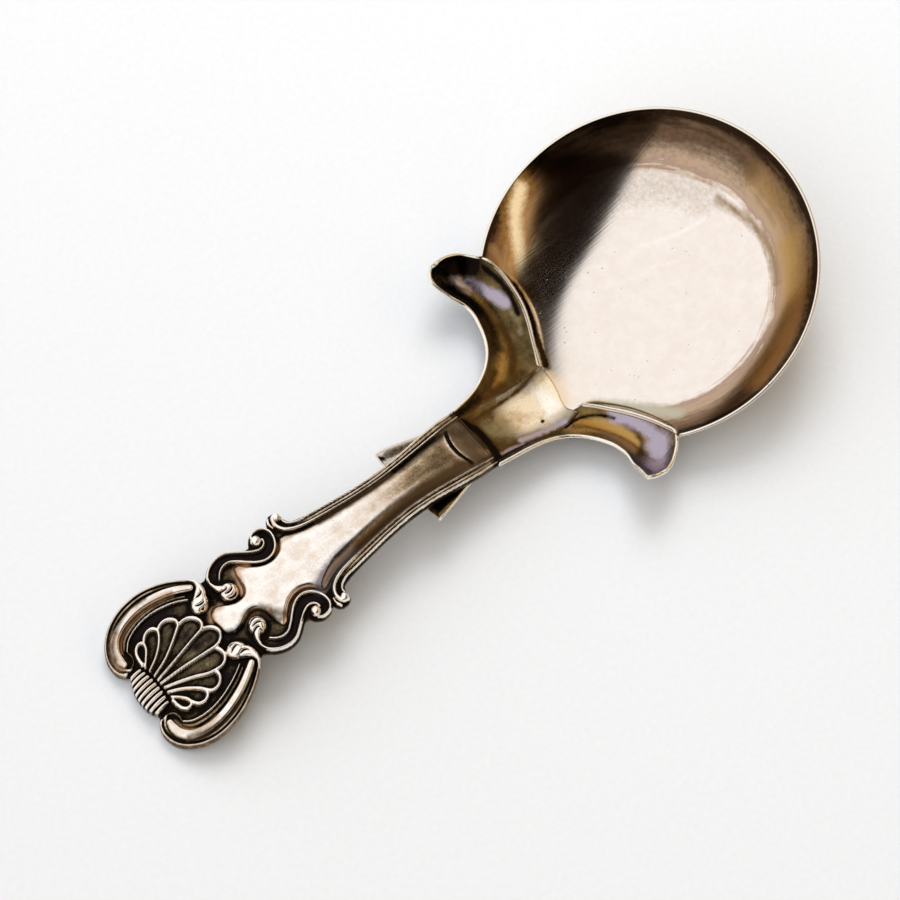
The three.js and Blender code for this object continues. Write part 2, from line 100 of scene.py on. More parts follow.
def smooth(marks, count):
    """A smooth line through marks. The first two columns are its plan, and any others ride along."""
    marks = np.asarray(marks, float)
    chord = np.r_[0, np.cumsum(np.linalg.norm(np.diff(marks[:, :2], axis=0), axis=1))]
    slope = np.gradient(marks, chord, axis=0)
    s = np.linspace(0, chord[-1], count)
    k = np.clip(np.searchsorted(chord, s) - 1, 0, len(marks) - 2)
    h = (chord[k + 1] - chord[k])[:, None]
    t = (s - chord[k])[:, None] / h
    ends = (2 * t**3 - 3 * t**2 + 1) * marks[k] + (3 * t**2 - 2 * t**3) * marks[k + 1]
    return ends + (t**3 - 2 * t**2 + t) * slope[k] * h + (t**3 - t**2) * slope[k + 1] * h


def read_off(line, x):
    """The last value of a line's marks, read off where the first one is x."""
    line = np.asarray(line, float)
    return np.interp(x, line[:, 0], line[:, -1])


def soft(share):
    """1 at nought, falling smoothly to almost nothing at 2."""
    return np.exp(-(np.asarray(share, float) ** 2))


FACE_LINE = smooth([(x, 0, z) for x, z in FACE_PROFILE], 300)


def face(x):
    """Height of the handle's face over the table."""
    return read_off(FACE_LINE, x)


def on_side(marks, side):
    """Marks of the left half, taken to their own side of the handle."""
    marks = np.array(marks, float)
    if side < 0:
        at, along, across = np.transpose(RIGHT_SHIFT)
        x = marks[:, 0].copy()
        marks[:, 0] += np.interp(x, at, along)
        marks[:, 1] = np.interp(x, at, across) - marks[:, 1]
    return marks


def turned(points):
    """From the bowl's own frame to the handle's."""
    points = np.array(points, float)
    x, y = points[..., 0] - LAP_X, points[..., 1].copy()
    points[..., 0] = LAP_X + x * math.cos(BOWL_TURN) - y * math.sin(BOWL_TURN)
    points[..., 1] = x * math.sin(BOWL_TURN) + y * math.cos(BOWL_TURN)
    return points


def nearest(x, y, line):
    """Distance to a plan line and place along it from 0 to 1."""
    distance = np.full(x.shape, np.inf)
    along = np.zeros(x.shape)
    last = len(line) - 1
    for i in range(last):
        ax, ay = line[i, :2]
        dx, dy = line[i + 1, :2] - line[i, :2]
        t = np.clip(((x - ax) * dx + (y - ay) * dy) / (dx * dx + dy * dy + 1e-12), 0, 1)
        d = np.hypot(x - ax - t * dx, y - ay - t * dy)
        near = d < distance
        distance[near] = d[near]
        along[near] = ((i + t) / last)[near]
    return distance, along


def inside(x, y, outline):
    """True where a plan point lies inside a closed outline."""
    odd = np.zeros(x.shape, bool)
    for (ax, ay), (bx, by) in zip(outline, np.roll(outline, -1, axis=0)):
        if ay == by:
            continue
        crosses = (ay > y) != (by > y)
        odd ^= crosses & (x < (bx - ax) * (y - ay) / (by - ay) + ax)
    return odd


def blur(grid, sigma):
    """Gaussian blur of a grid, sigma in cells: first along one of its directions, then along the other."""
    reach = max(1, int(3 * sigma))
    weights = np.exp(-0.5 * (np.arange(-reach, reach + 1) / sigma) ** 2)
    weights /= weights.sum()
    for _ in range(2):
        rows = len(grid)
        padded = np.pad(grid, [(reach, reach), (0, 0)], mode="edge")
        grid = sum(weight * padded[i:i + rows] for i, weight in enumerate(weights)).T
    return grid


def make_piece(name, points, faces, material, marks, normals=None):
    """A smooth shaded mesh piece from points in the handle's frame. marks are per point values."""
    mesh = bpy.data.meshes.new(name)
    placed = (np.asarray(points, float) + HANDLE_ORIGIN) * MM
    mesh.from_pydata(placed.tolist(), [], [list(map(int, f)) for f in faces])
    mesh.shade_smooth()
    for key, values in marks.items():
        attribute = mesh.attributes.new(key, "FLOAT", "POINT")
        attribute.data.foreach_set("value", np.asarray(values, np.float32))
    if normals is not None:
        mesh.normals_split_custom_set_from_vertices(normals.tolist())
    piece = bpy.data.objects.new(f"silver_{name}", mesh)
    bpy.context.scene.collection.objects.link(piece)
    piece.data.materials.append(material)
    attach(piece, "root")
    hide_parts(name)
    return piece


def strokes(points, marks):
    """Per point strength of each tone, from soft strokes of tone, half width, strength and plan line."""
    tones = {tone: np.zeros(len(points)) for tone in TONES}
    x, y = points[:, 0], points[:, 1]
    for tone, half, strength, line in marks:
        path = smooth(line, 24) if len(line) > 2 else np.array(line, float)
        distance, _ = nearest(x, y, path)
        tones[tone] = np.maximum(tones[tone], strength * soft(distance / half))
    return tones


def skin(loops):
    """Faces over a row of closed loops with the same number of points, closed at both ends by a fan."""
    loops = np.asarray(loops, float)
    rows, n = loops.shape[:2]
    points = np.concatenate([loops.reshape(-1, 3), loops[0].mean(0)[None], loops[-1].mean(0)[None]])
    here = np.arange(n)
    following = (here + 1) % n
    faces = []
    for a in range(0, (rows - 1) * n, n):
        b = a + n
        faces += np.stack([a + here, a + following, b + following, b + here], 1).tolist()
    end = (rows - 1) * n
    first_middle, last_middle = rows * n, rows * n + 1
    for p, q in zip(here.tolist(), following.tolist()):
        faces.append([first_middle, q, p])
    for p, q in zip(here.tolist(), following.tolist()):
        faces.append([last_middle, end + p, end + q])
    return points, faces


def outward(points, faces):
    """The same faces, turned so that the closed body's volume is positive."""
    volume = 0.0
    for f in faces:
        a = points[f[0]]
        for k in range(1, len(f) - 1):
            volume += a @ np.cross(points[f[k]], points[f[k + 1]])
    return faces if volume > 0 else [f[::-1] for f in faces]


# Struck relief of the handle, on one fine plan grid

SIDES = ((1, "left"), (-1, "right"))
PIECES = ["handle_plate", "stem_crown", "lap_plate", "shell", "shell_base"]
for _, side_name in SIDES:
    PIECES += [f"{kind}_{side_name}" for kind in ("border", "s_scroll", "c_scroll", "c_wire")]

# Outline of the blank's left half, from the middle of the tip to the lap
BLANK_LEFT = [
    (-0.75, 0), (-0.68, 0.8), (-0.42, 1.6), (-0.05, 2.35), (0.1, 2.75), (-0.2, 3.1), (-0.6, 3.62),
    (-0.8, 4.3), (-0.8, 5.0), (-0.42, 6.3), (0.5, 7.5), (1.8, 8.38), (3.2, 8.82), (4.7, 8.9), (6.4, 8.65),
    (8.0, 8.02), (9.4, 7.22), (10.6, 6.25), (11.25, 5.5), (11.62, 5.08), (12.05, 5.18), (12.7, 5.74),
    (13.5, 6.12), (14.5, 6.32), (15.5, 6.14), (16.5, 5.54), (17.3, 4.98), (17.65, 5.0), (18.0, 5.5),
    (18.5, 5.92), (19.2, 6.1), (20.0, 5.92), (20.55, 5.5), (20.72, 5.95), (21.15, 6.36), (21.95, 6.4),
    (22.45, 6.1), (22.45, 5.4), (22.75, 4.68), (23.6, 4.32), (25, 4.04), (27, 3.75), (30, 3.38), (33, 3.2),
    (36, 3.3), (39, 3.6), (42, 3.85), (HANDLE_END_X, 3.85),
]
# Near the middle of the tip the right half turns into the left one's mirror image
MIRRORED_TIP_Y = 2.4
# The head's two lobes lie farther to the side than this, and before this end
LOBE_EDGE_Y = 3.0
LOBE_END_X = 11.3
# The relief's grid: half its width, and how far it runs on past both ends
GRID_HALF_Y = 9.3
GRID_MARGIN = 0.2

# Left half's ornament. The marks of a bar are x, y, half width and height over the face, and a cut is a
# plan line. A round end is x, y, half its length, half its width, its turn in degrees and its height.
C_RIB = [
    (0.4, 4.05, 0.4, 0.45), (0.36, 4.6, 0.5, 0.66), (0.5, 5.6, 0.55, 0.72), (1.2, 6.6, 0.55, 0.72),
    (2.4, 7.22, 0.53, 0.72), (3.8, 7.46, 0.52, 0.72), (5.2, 7.42, 0.52, 0.72), (6.8, 7.06, 0.52, 0.72),
    (8.2, 6.54, 0.5, 0.72), (9.4, 5.88, 0.46, 0.7), (10.3, 5.3, 0.4, 0.6),
]
C_LEAF = [
    (10.6, 6.15, 0.16, 0.6), (11.0, 5.45, 0.26, 0.85), (11.0, 4.8, 0.42, 0.98), (10.7, 4.15, 0.68, 1.06),
    (10.35, 3.75, 0.78, 1.04),
]
C_LEAF_END = (9.96, 3.26, 1.14, 0.98, 32, 1.12)
C_LEAF_CUTS = [
    [(10.86, 4.4), (10.74, 4.06), (10.37, 3.9), (9.75, 3.95)],
    [(10.5, 3.3), (10.19, 3.0), (9.72, 3.04), (9.15, 3.4)],
    [(10.15, 2.66), (9.84, 2.5), (9.45, 2.64)],
]
C_WIRE = [
    (1.5, 4.92, 0.07, 0.34), (2.1, 5.52, 0.11, 0.46), (3.1, 5.94, 0.14, 0.5), (4.4, 6.12, 0.14, 0.5),
    (5.7, 6.02, 0.14, 0.5), (7.2, 5.6, 0.14, 0.48), (8.3, 5.14, 0.12, 0.44), (9.35, 4.54, 0.08, 0.36),
]
C_BAND = [
    (1.3, 5.2, 0.14, 0.14), (1.85, 5.88, 0.2, 0.2), (3.0, 6.36, 0.2, 0.22), (4.4, 6.54, 0.2, 0.22),
    (5.8, 6.44, 0.2, 0.22), (7.3, 6.04, 0.2, 0.22), (8.5, 5.52, 0.17, 0.2), (9.3, 5.05, 0.12, 0.16),
]
C_WRAP = [
    (-0.5, 3.85, 0.08, 0.34), (-0.2, 3.4, 0.08, 0.34), (0.35, 3.2, 0.08, 0.32), (0.9, 3.28, 0.08, 0.3),
    (1.35, 3.65, 0.08, 0.28), (1.5, 4.3, 0.08, 0.26), (1.4, 4.9, 0.08, 0.24),
]
S_WIRE_OUTER = [
    (12.05, 3.5, 0.16, 0.6), (12.1, 4.4, 0.17, 0.62), (12.36, 5.04, 0.17, 0.64), (12.95, 5.57, 0.17, 0.66),
    (13.72, 5.92, 0.17, 0.66), (14.5, 6.05, 0.17, 0.66), (15.35, 5.88, 0.17, 0.66), (16.14, 5.36, 0.17, 0.66),
    (17.03, 4.68, 0.16, 0.66), (17.78, 4.19, 0.16, 0.64), (18.4, 3.97, 0.16, 0.62), (18.9, 4.05, 0.15, 0.6),
    (19.25, 4.38, 0.13, 0.55), (19.36, 4.8, 0.1, 0.5),
]
S_WIRE_INNER = [
    (13.15, 4.1, 0.12, 0.5), (13.65, 4.62, 0.15, 0.6), (14.3, 4.92, 0.17, 0.64), (15.0, 4.88, 0.18, 0.66),
    (15.75, 4.4, 0.2, 0.66), (16.6, 3.6, 0.2, 0.66), (17.4, 2.95, 0.21, 0.66), (18.1, 2.64, 0.21, 0.66),
    (18.8, 2.62, 0.21, 0.66), (19.55, 2.95, 0.21, 0.66), (20.12, 3.6, 0.2, 0.66), (20.4, 4.4, 0.19, 0.66),
    (20.38, 5.05, 0.18, 0.64), (20.05, 5.62, 0.17, 0.62), (19.45, 5.88, 0.16, 0.6), (18.85, 5.84, 0.14, 0.56),
    (18.45, 5.6, 0.12, 0.5),
]
S_EYE = (18.68, 4.98, 0.6, 0.6, 0, 0.95)
S_LEAF = [
    (12.1, 4.3, 0.17, 0.6), (12.2, 3.6, 0.3, 0.82), (12.5, 3.05, 0.5, 0.95), (12.8, 2.7, 0.6, 0.9),
]
S_LEAF_END = (13.04, 2.3, 1.04, 1.08, 10, 1.1)
S_LEAF_CUTS = [
    [(13.2, 2.95), (12.9, 2.6), (12.46, 2.67), (11.95, 3.05)],
    [(13.7, 2.6), (13.33, 2.25), (12.94, 2.15), (12.3, 2.35)],
    [(13.72, 1.84), (13.34, 1.54), (12.88, 1.54), (12.4, 1.86)],
]
THREAD_INNER = [
    (22.05, 6.0, 0.3, 0.7), (21.6, 5.86, 0.3, 0.7), (21.36, 5.36, 0.27, 0.68), (21.42, 4.75, 0.26, 0.66),
    (21.75, 4.18, 0.26, 0.64), (22.4, 3.7, 0.26, 0.62), (23.3, 3.34, 0.25, 0.6), (24.3, 3.12, 0.22, 0.57),
    (25.5, 2.94, 0.19, 0.54), (27, 2.76, 0.15, 0.52), (29, 2.53, 0.14, 0.5), (31, 2.36, 0.13, 0.5),
    (34, 2.28, 0.13, 0.48), (37, 2.44, 0.13, 0.46), (40, 2.7, 0.13, 0.42), (42.5, 2.92, 0.12, 0.34),
    (44.05, 3.02, 0.1, 0.2),
]
THREAD_BULB = (22.0, 5.66, 0.5, 0.4, 70, 0.88)
THREAD_OUTER = [
    (22.4, 5.5, 0.12, 0.5), (22.24, 5.0, 0.12, 0.52), (22.48, 4.55, 0.12, 0.52), (23.15, 4.15, 0.12, 0.5),
    (25, 3.82, 0.11, 0.48), (27, 3.55, 0.11, 0.46), (30, 3.18, 0.11, 0.44), (33, 3.0, 0.11, 0.42),
    (36, 3.1, 0.11, 0.4), (39, 3.4, 0.11, 0.36), (42, 3.64, 0.11, 0.3), (44.05, 3.68, 0.1, 0.2),
]
THREAD_BAND = [
    (23.2, 3.76, 0.14, 0.2), (25, 3.4, 0.18, 0.24), (27, 3.16, 0.17, 0.24), (30, 2.82, 0.15, 0.24),
    (33, 2.65, 0.15, 0.24), (36, 2.77, 0.15, 0.22), (39, 3.05, 0.15, 0.2), (42, 3.3, 0.15, 0.16),
    (44.05, 3.36, 0.14, 0.12),
]
HOOK_STRIP = [(21.12, 6.12, 0.14, 0.5), (20.88, 5.62, 0.14, 0.5), (20.94, 5.0, 0.1, 0.4)]

LEAF_CUT_HALF = 0.1
LEAF_CUT_DEPTH = 0.34

# Sections of the raised bars, from a round wire to a flat band
WIRE_SECTION = 2.0
LEAF_SECTION = 2.4
FLAT_SECTION = 4.0
BAND_SECTION = 6.0

# Film of oxide on each kind of ornament: below nought where the hand rubs it bright, above where it stays
FILM = {
    "field": 0.12, "rim": 0.38, "rim_crest": -0.26, "boss": -0.35, "boss_tip": 0.85, "boss_gap": 0.6,
    "boss_end": 0.3, "lobe": -0.02, "ray": -0.6, "crown": -0.34, "crown_fringe": 0.54, "crown_edge": -0.3,
    "lap_plate": 0.42, "seam": 0.6, "c_band": 0.3, "c_wire": -0.1, "c_wrap": 0.8, "c_rib": 0.38, "leaf": -0.5,
    "round_end": -0.55, "leaf_cut": 2.2, "s_wire": -0.25, "thread": -0.45, "thread_band": -0.1, "back": 0.3,
}

# Edge of the convex middle. Between the scrolls it differs from side to side. Along the stem the right
# side is only a little wider.
CROWN_STEM = [
    (22.0, 3.4), (23, 3.06), (24, 2.83), (26, 2.54), (28, 2.32), (30, 2.12), (33, 1.96), (36, 2.06),
    (39, 2.32), (42.2, 2.5),
]
CROWN_STEM_WIDER = 0.02
CROWN_EDGE = {
    1: [
        (9.85, 0.0), (9.88, 1.0), (10.2, 1.75), (10.8, 2.05), (11.5, 1.82), (12.2, 1.3), (13.0, 1.0),
        (13.9, 1.08), (14.4, 1.7), (14.55, 2.6), (14.7, 3.5), (15.05, 4.15), (15.5, 4.16), (16.3, 3.36),
        (17.15, 2.66), (18.0, 2.3), (18.9, 2.28), (19.75, 2.68), (20.3, 3.3), (20.7, 3.72), (21.2, 3.75),
    ] + CROWN_STEM,
    -1: [
        (9.85, 0.0), (9.92, 0.75), (10.35, 1.4), (11.1, 1.7), (11.9, 1.6), (12.7, 1.2), (13.4, 1.0),
        (14.05, 1.2), (14.5, 1.85), (14.65, 2.7), (14.85, 3.6), (15.15, 4.2), (15.55, 4.2), (16.35, 3.42),
        (17.15, 2.76), (18.0, 2.42), (18.9, 2.4), (19.75, 2.78), (20.3, 3.4), (20.7, 3.78), (21.2, 3.76),
    ] + [(x, y + CROWN_STEM_WIDER) for x, y in CROWN_STEM],
}
# Height of its crest along the handle, how far in from its edge it rolls off, and how far it falls
# for each square millimetre to the side
CROWN_HEIGHT = [
    (9.85, 0.3), (10.6, 0.5), (11.5, 0.66), (13, 0.82), (15, 0.95), (18, 1.02), (24, 1.05), (30, 1.0),
    (35, 0.92), (39, 0.76), (42.2, 0.6),
]
CROWN_FOOT = 0.03
CROWN_ROLL = [(19.5, 0.5), (24.0, 1.4)]
CROWN_ROLL_POWER = 0.7
CROWN_FALL = 0.035
CROWN_END_X = 41.1
CROWN_END_HALF = 2.5
# Its film: bright in the middle, darker in a fringe along its edge and towards the lap
CROWN_FRINGE = 1.1
CROWN_FRINGE_POWER = 1.6
CROWN_EDGE_RUB = 0.4
STEM_FILM = [(22.0, 0.0), (28.5, 0.16), (32.0, 0.46), (36.0, 0.76), (40.0, 0.85)]
# Lap plate, between the crown's arc and the lap joint, and how far the joint's darkening reaches: a dark
# seam, with painted shadow in its gap
LAP_ARC = 0.8
LAP_GAP = 0.32
LAP_HALF = 2.6
LAP_HEIGHT = 0.42
LAP_FALL = 0.5
LAP_EDGE_GAP = 0.1
SEAM_LENGTH = 0.55

# Scallop shell: rays between the lobes and the arcs round the lobes' tips, as plan points
SHELL_RAYS = [
    [(1.75, 2.15), (2.4, 2.85), (3.0, 3.6), (3.2, 4.25)],
    [(1.9, 1.6), (3.2, 2.2), (4.3, 3.05), (4.9, 3.85), (5.05, 4.2)],
    [(1.95, 0.85), (3.8, 1.35), (5.6, 2.25), (6.9, 3.05)],
    [(1.95, 0.28), (4.5, 0.52), (7.0, 0.85), (8.3, 1.0)],
    [(1.95, -0.2), (4.5, -0.6), (6.5, -1.02), (8.3, -1.36)],
    [(2.0, -0.8), (3.5, -1.5), (5.0, -2.3), (6.2, -3.05), (6.9, -3.3)],
    [(1.95, -1.4), (3.1, -2.15), (4.1, -3.05), (4.7, -3.75), (4.92, -4.15)],
    [(1.9, -2.05), (2.6, -2.85), (3.0, -3.5), (3.1, -4.0)],
]
SHELL_TIPS = [
    [(1.75, 2.6), (1.8, 3.3), (2.0, 4.0), (2.4, 4.42), (2.85, 4.5), (3.2, 4.25)],
    [(3.2, 4.25), (3.65, 4.7), (4.2, 4.88), (4.75, 4.72), (5.05, 4.2)],
    [(5.05, 4.2), (5.55, 4.45), (6.15, 4.45), (6.75, 4.1), (7.02, 3.6), (6.9, 3.05)],
    [(6.9, 3.05), (7.5, 3.12), (8.2, 2.9), (8.72, 2.3), (8.85, 1.7), (8.62, 1.22), (8.3, 1.0)],
    [(8.3, 1.0), (8.95, 0.85), (9.5, 0.38), (9.7, -0.2), (9.45, -0.88), (8.9, -1.27), (8.3, -1.36)],
    [(8.3, -1.36), (8.56, -1.9), (8.6, -2.5), (8.25, -3.12), (7.6, -3.4), (6.9, -3.3)],
    [(6.9, -3.3), (6.86, -3.95), (6.5, -4.5), (5.9, -4.76), (5.35, -4.65), (4.92, -4.15)],
    [(4.92, -4.15), (4.75, -4.65), (4.2, -4.92), (3.55, -4.7), (3.1, -4.0)],
    [(3.1, -4.0), (2.85, -4.22), (2.45, -4.22), (2.05, -3.85), (1.85, -3.2), (1.78, -2.5)],
]
# Two points at the root, which close the outline
SHELL_ROOT = [(1.8, -2.2), (1.8, 2.2)]
# Floor of the lobes: its lowest level, and how it rises towards the rays
SHELL_FLOOR = 0.06
SHELL_FLOOR_RISE = 0.26
SHELL_FLOOR_FADE = 0.16
# Half widths at the root and at the tip, and heights there
SHELL_RAY_HALF = (0.14, 0.23)
SHELL_TIP_HALF = (0.24, 0.24)
SHELL_LINE_HEIGHT = (0.52, 0.62)

# Reeded boss: the middles of its reeds, and the swelling that carries them
BOSS_REEDS = [2.42, 1.86, 1.3, 0.73, 0.15, -0.42, -1.0, -1.6, -2.22]
BOSS_REED_HALF = 0.24
BOSS_REED_DEPTH = 0.5
BOSS_HALF = 2.68
BOSS_END_X = 1.68
BOSS_TIP_CURVE = 0.85
BOSS_END_CURVE = 0.35
BOSS_FOOT = 0.05
BOSS_HEIGHT = 0.85
BOSS_SIDE_FALL = 0.35
# Part of a half wave that the swelling shows along the handle, as start and length, and its power
BOSS_WAVE = (0.1, 0.78)
BOSS_WAVE_POWER = 0.8
BOSS_WORN_X = (-0.55, 0.3)

# Blank: the level of its field, and the rim round the head's two lobes, with fine lines along it as
# distance from the edge, half width and height
HEAD_FIELD = -0.05
STEM_FIELD = 0.1
STEM_FIELD_X = (10.5, 12.0)
RIM_STEP = (0.8, 0.95)
RIM_STEP_HEIGHT = 0.3
RIM_LINES = [(0.15, 0.08, 0.1), (0.33, 0.08, -0.16), (0.56, 0.1, 0.08), (0.82, 0.1, -0.2)]
RIM_FILM_END = 0.9
RIM_CREST = (0.15, 0.09)

# How oxide gathers: in narrow hollows, in wide ones and on low ground. The reaches are in millimetres.
STRIKE_SOFTNESS = 0.05
NARROW_REACH, NARROW_DEPTH, NARROW_SHARE = 0.2, 0.12, 0.55
WIDE_REACH, WIDE_DEPTH, WIDE_SHARE = 0.55, 0.22, 0.5
LOW_GROUND, LOW_SHARE = (0.05, 0.45), 0.3

# How deep the blank lies under an applied piece, and how deep an applied piece reaches into its seat
BURIED_DEPTH = 0.12
BURIED_TOP = -0.03
APPLIED_DEPTH = 0.05
APPLIED_SEAT = -0.14


class Relief:
    """Heights over the handle's face on a plan grid, and which piece each point belongs to."""

    def __init__(self, low, high, step):
        self.step = step
        xs = np.arange(low[0], high[0] + step, step)
        ys = np.arange(low[1], high[1] + step, step)
        self.x, self.y = np.meshgrid(xs, ys, indexing="ij")
        self.h = np.zeros(self.x.shape)
        self.film = np.zeros(self.x.shape)
        self.owner = np.zeros(self.x.shape, int)

    def window(self, line, reach):
        """The part of the grid that lies within reach of a line."""
        start = np.array([self.x[0, 0], self.y[0, 0]])
        low = np.floor((line[:, :2].min(0) - reach - start) / self.step).astype(int)
        high = np.ceil((line[:, :2].max(0) + reach - start) / self.step).astype(int)
        low = np.maximum(low, 0)
        return slice(low[0], high[0] + 1), slice(low[1], high[1] + 1)

    def put(self, where, height, owner, area=..., film=0.0):
        """Raises the area to a height where it is lower, and gives it to a piece."""
        higher = where & (height > self.h[area])
        self.h[area][higher] = height[higher]
        self.owner[area][higher] = PIECES.index(owner)
        self.film[area][higher] = film

    def bar(self, owner, marks, section, film, count=90):
        """A raised bar. marks are x, y, half width and height. A higher section has a flatter top."""
        line = smooth(marks, count)
        area = self.window(line, line[:, 2].max())
        d, along = nearest(self.x[area], self.y[area], line)
        at = np.linspace(0, 1, count)
        half = np.interp(along, at, line[:, 2])
        height = np.interp(along, at, line[:, 3])
        share = np.clip(d / half, 0, 1)
        self.put(share < 1, height * (1 - share**section) ** (1 / section), owner, area, film)

    def dome(self, owner, x, y, long, wide, turn, height, film):
        """A raised oval, with its long side turned from the handle's length by this many degrees."""
        area = self.window(np.array([[x, y]]), max(long, wide))
        a = math.radians(turn)
        dx, dy = self.x[area] - x, self.y[area] - y
        u = (dx * math.cos(a) + dy * math.sin(a)) / long
        v = (dy * math.cos(a) - dx * math.sin(a)) / wide
        share = np.clip(np.hypot(u, v), 0, 1)
        self.put(share < 1, height * (1 - share**LEAF_SECTION) ** (1 / LEAF_SECTION), owner, area, film)

    def groove(self, marks, half, depth, count=40):
        """A cut along a line that thins out at its ends."""
        line = smooth(marks, count)
        area = self.window(line, 3 * half)
        d, along = nearest(self.x[area], self.y[area], line)
        taper = np.sin(math.pi * np.clip(along, 0.06, 0.94)) ** 0.5
        cut = taper * soft(d / (half * taper))
        self.h[area] -= depth * cut
        self.film[area] += FILM["leaf_cut"] * cut


CORNERS = [(0, 0), (1, 0), (1, 1), (0, 1)]


def at_corner(grid, di, dj):
    """Values of a grid's points at one corner of each of its cells."""
    return grid[di:grid.shape[0] - 1 + di, dj:grid.shape[1] - 1 + dj]


def blank_outline():
    """The blank's whole outline. In the middle of the tip its two halves are even."""
    left = smooth(BLANK_LEFT, 420)
    right = on_side(left, -1)
    own_share = step_up(np.abs(left[:, 1]), 0.0, MIRRORED_TIP_Y)[:, None]
    right = left * [1, -1] * (1 - own_share) + right * own_share
    return np.concatenate([right[::-1], left[1:]])


def round_end(r, oval, side, owner):
    """The round end of a leaf, an eye or a hook."""
    x, y, long, wide, turn, height = oval
    (x, y), = on_side([(x, y)], side)
    r.dome(owner, x, y, long, wide, side * turn, height, FILM["round_end"])


def leaf(r, marks, oval, cuts, side, owner):
    """A leaf that swells to a round end, with its veins cut in."""
    r.bar(owner, on_side(marks, side), LEAF_SECTION, FILM["leaf"])
    round_end(r, oval, side, owner)
    for cut in cuts:
        r.groove(on_side(cut, side), LEAF_CUT_HALF, LEAF_CUT_DEPTH)


def head_ornament(r, side, side_name):
    """One C scroll with its leaf, and the wire and band inside it."""
    scroll, wire = f"c_scroll_{side_name}", f"c_wire_{side_name}"
    r.bar(wire, on_side(C_BAND, side), BAND_SECTION, FILM["c_band"])
    r.bar(wire, on_side(C_WIRE, side), WIRE_SECTION, FILM["c_wire"])
    r.bar("handle_plate", on_side(C_WRAP, side), WIRE_SECTION, FILM["c_wrap"])
    r.bar(scroll, on_side(C_RIB, side), LEAF_SECTION, FILM["c_rib"])
    leaf(r, C_LEAF, C_LEAF_END, C_LEAF_CUTS, side, scroll)


def scroll_ornament(r, side, side_name):
    """One S scroll between two wires, with its eye and its leaf."""
    scroll = f"s_scroll_{side_name}"
    for marks in (S_WIRE_OUTER, S_WIRE_INNER):
        r.bar(scroll, on_side(marks, side), LEAF_SECTION, FILM["s_wire"], count=140)
    round_end(r, S_EYE, side, scroll)
    leaf(r, S_LEAF, S_LEAF_END, S_LEAF_CUTS, side, scroll)


def thread_ornament(r, side, side_name):
    """The double thread along the stem, which ends in a hook."""
    border = f"border_{side_name}"
    r.bar(border, on_side(THREAD_BAND, side), FLAT_SECTION, FILM["thread_band"])
    for marks in (THREAD_OUTER, THREAD_INNER, HOOK_STRIP):
        r.bar(border, on_side(marks, side), WIRE_SECTION, FILM["thread"], count=160)
    round_end(r, THREAD_BULB, side, border)


def crown(r):
    """The convex middle, which ends in an arc before the lap plate."""
    left, right = (smooth([(x, side * y) for x, y in CROWN_EDGE[side]], 220) for side, _ in SIDES)
    loop = np.concatenate([left, right[::-1]])
    area = r.window(loop, 0.1)
    x, y = r.x[area], r.y[area]
    flank = np.minimum(nearest(x, y, left)[0], nearest(x, y, right)[0])
    share = np.clip(flank / read_off(CROWN_ROLL, x), 0, 1)
    crest = read_off(smooth(CROWN_HEIGHT, 120), x) - CROWN_FALL * y**2
    across = np.clip(np.abs(y) / CROWN_END_HALF, 0, 1)
    within = inside(x, y, loop) & (x < CROWN_END_X + LAP_ARC * across**2)
    height = CROWN_FOOT + crest * (1 - (1 - share) ** 2) ** CROWN_ROLL_POWER
    r.film[area] += FILM["crown_edge"] * soft(flank / CROWN_EDGE_RUB)
    r.put(within, height, "stem_crown", area)
    fringe = np.clip(1 - flank / CROWN_FRINGE, 0, 1) ** CROWN_FRINGE_POWER
    film = FILM["crown"] + FILM["crown_fringe"] * fringe + read_off(STEM_FILM, x)
    r.film[area][within] = film[within]


def lap_plate(r):
    """The filling piece between the crown's arc and the lap joint."""
    across = np.clip(np.abs(r.y) / LAP_HALF, 0, 1)
    start = CROWN_END_X + LAP_GAP + LAP_ARC * across**2
    where = (r.x > start) & (r.x < LAP_X - LAP_EDGE_GAP) & (across < 1)
    r.put(where, LAP_HEIGHT * (1 - LAP_FALL * across**4), "lap_plate", film=FILM["lap_plate"])


def scallop(r):
    """Nine hollow lobes between raised rays, with a raised line round their tips."""
    loop = np.concatenate([smooth(tip, 16) for tip in SHELL_TIPS])
    closed = np.concatenate([loop, SHELL_ROOT])
    area = r.window(loop, 0.4)
    x, y = r.x[area], r.y[area]
    distance = np.full(x.shape, np.inf)
    for line in SHELL_RAYS + SHELL_TIPS:
        distance = np.minimum(distance, nearest(x, y, smooth(line, 24))[0])
    floor = SHELL_FLOOR + SHELL_FLOOR_RISE * np.exp(-distance / SHELL_FLOOR_FADE)
    r.put(inside(x, y, closed), floor, "shell", area, FILM["lobe"])
    for lines, halves in ((SHELL_RAYS, SHELL_RAY_HALF), (SHELL_TIPS, SHELL_TIP_HALF)):
        for line in lines:
            ends = (0, len(line) - 1)
            marks = [(px, py, np.interp(k, ends, halves), np.interp(k, ends, SHELL_LINE_HEIGHT))
                     for k, (px, py) in enumerate(line)]
            r.bar("shell", marks, WIRE_SECTION, FILM["ray"], count=40)


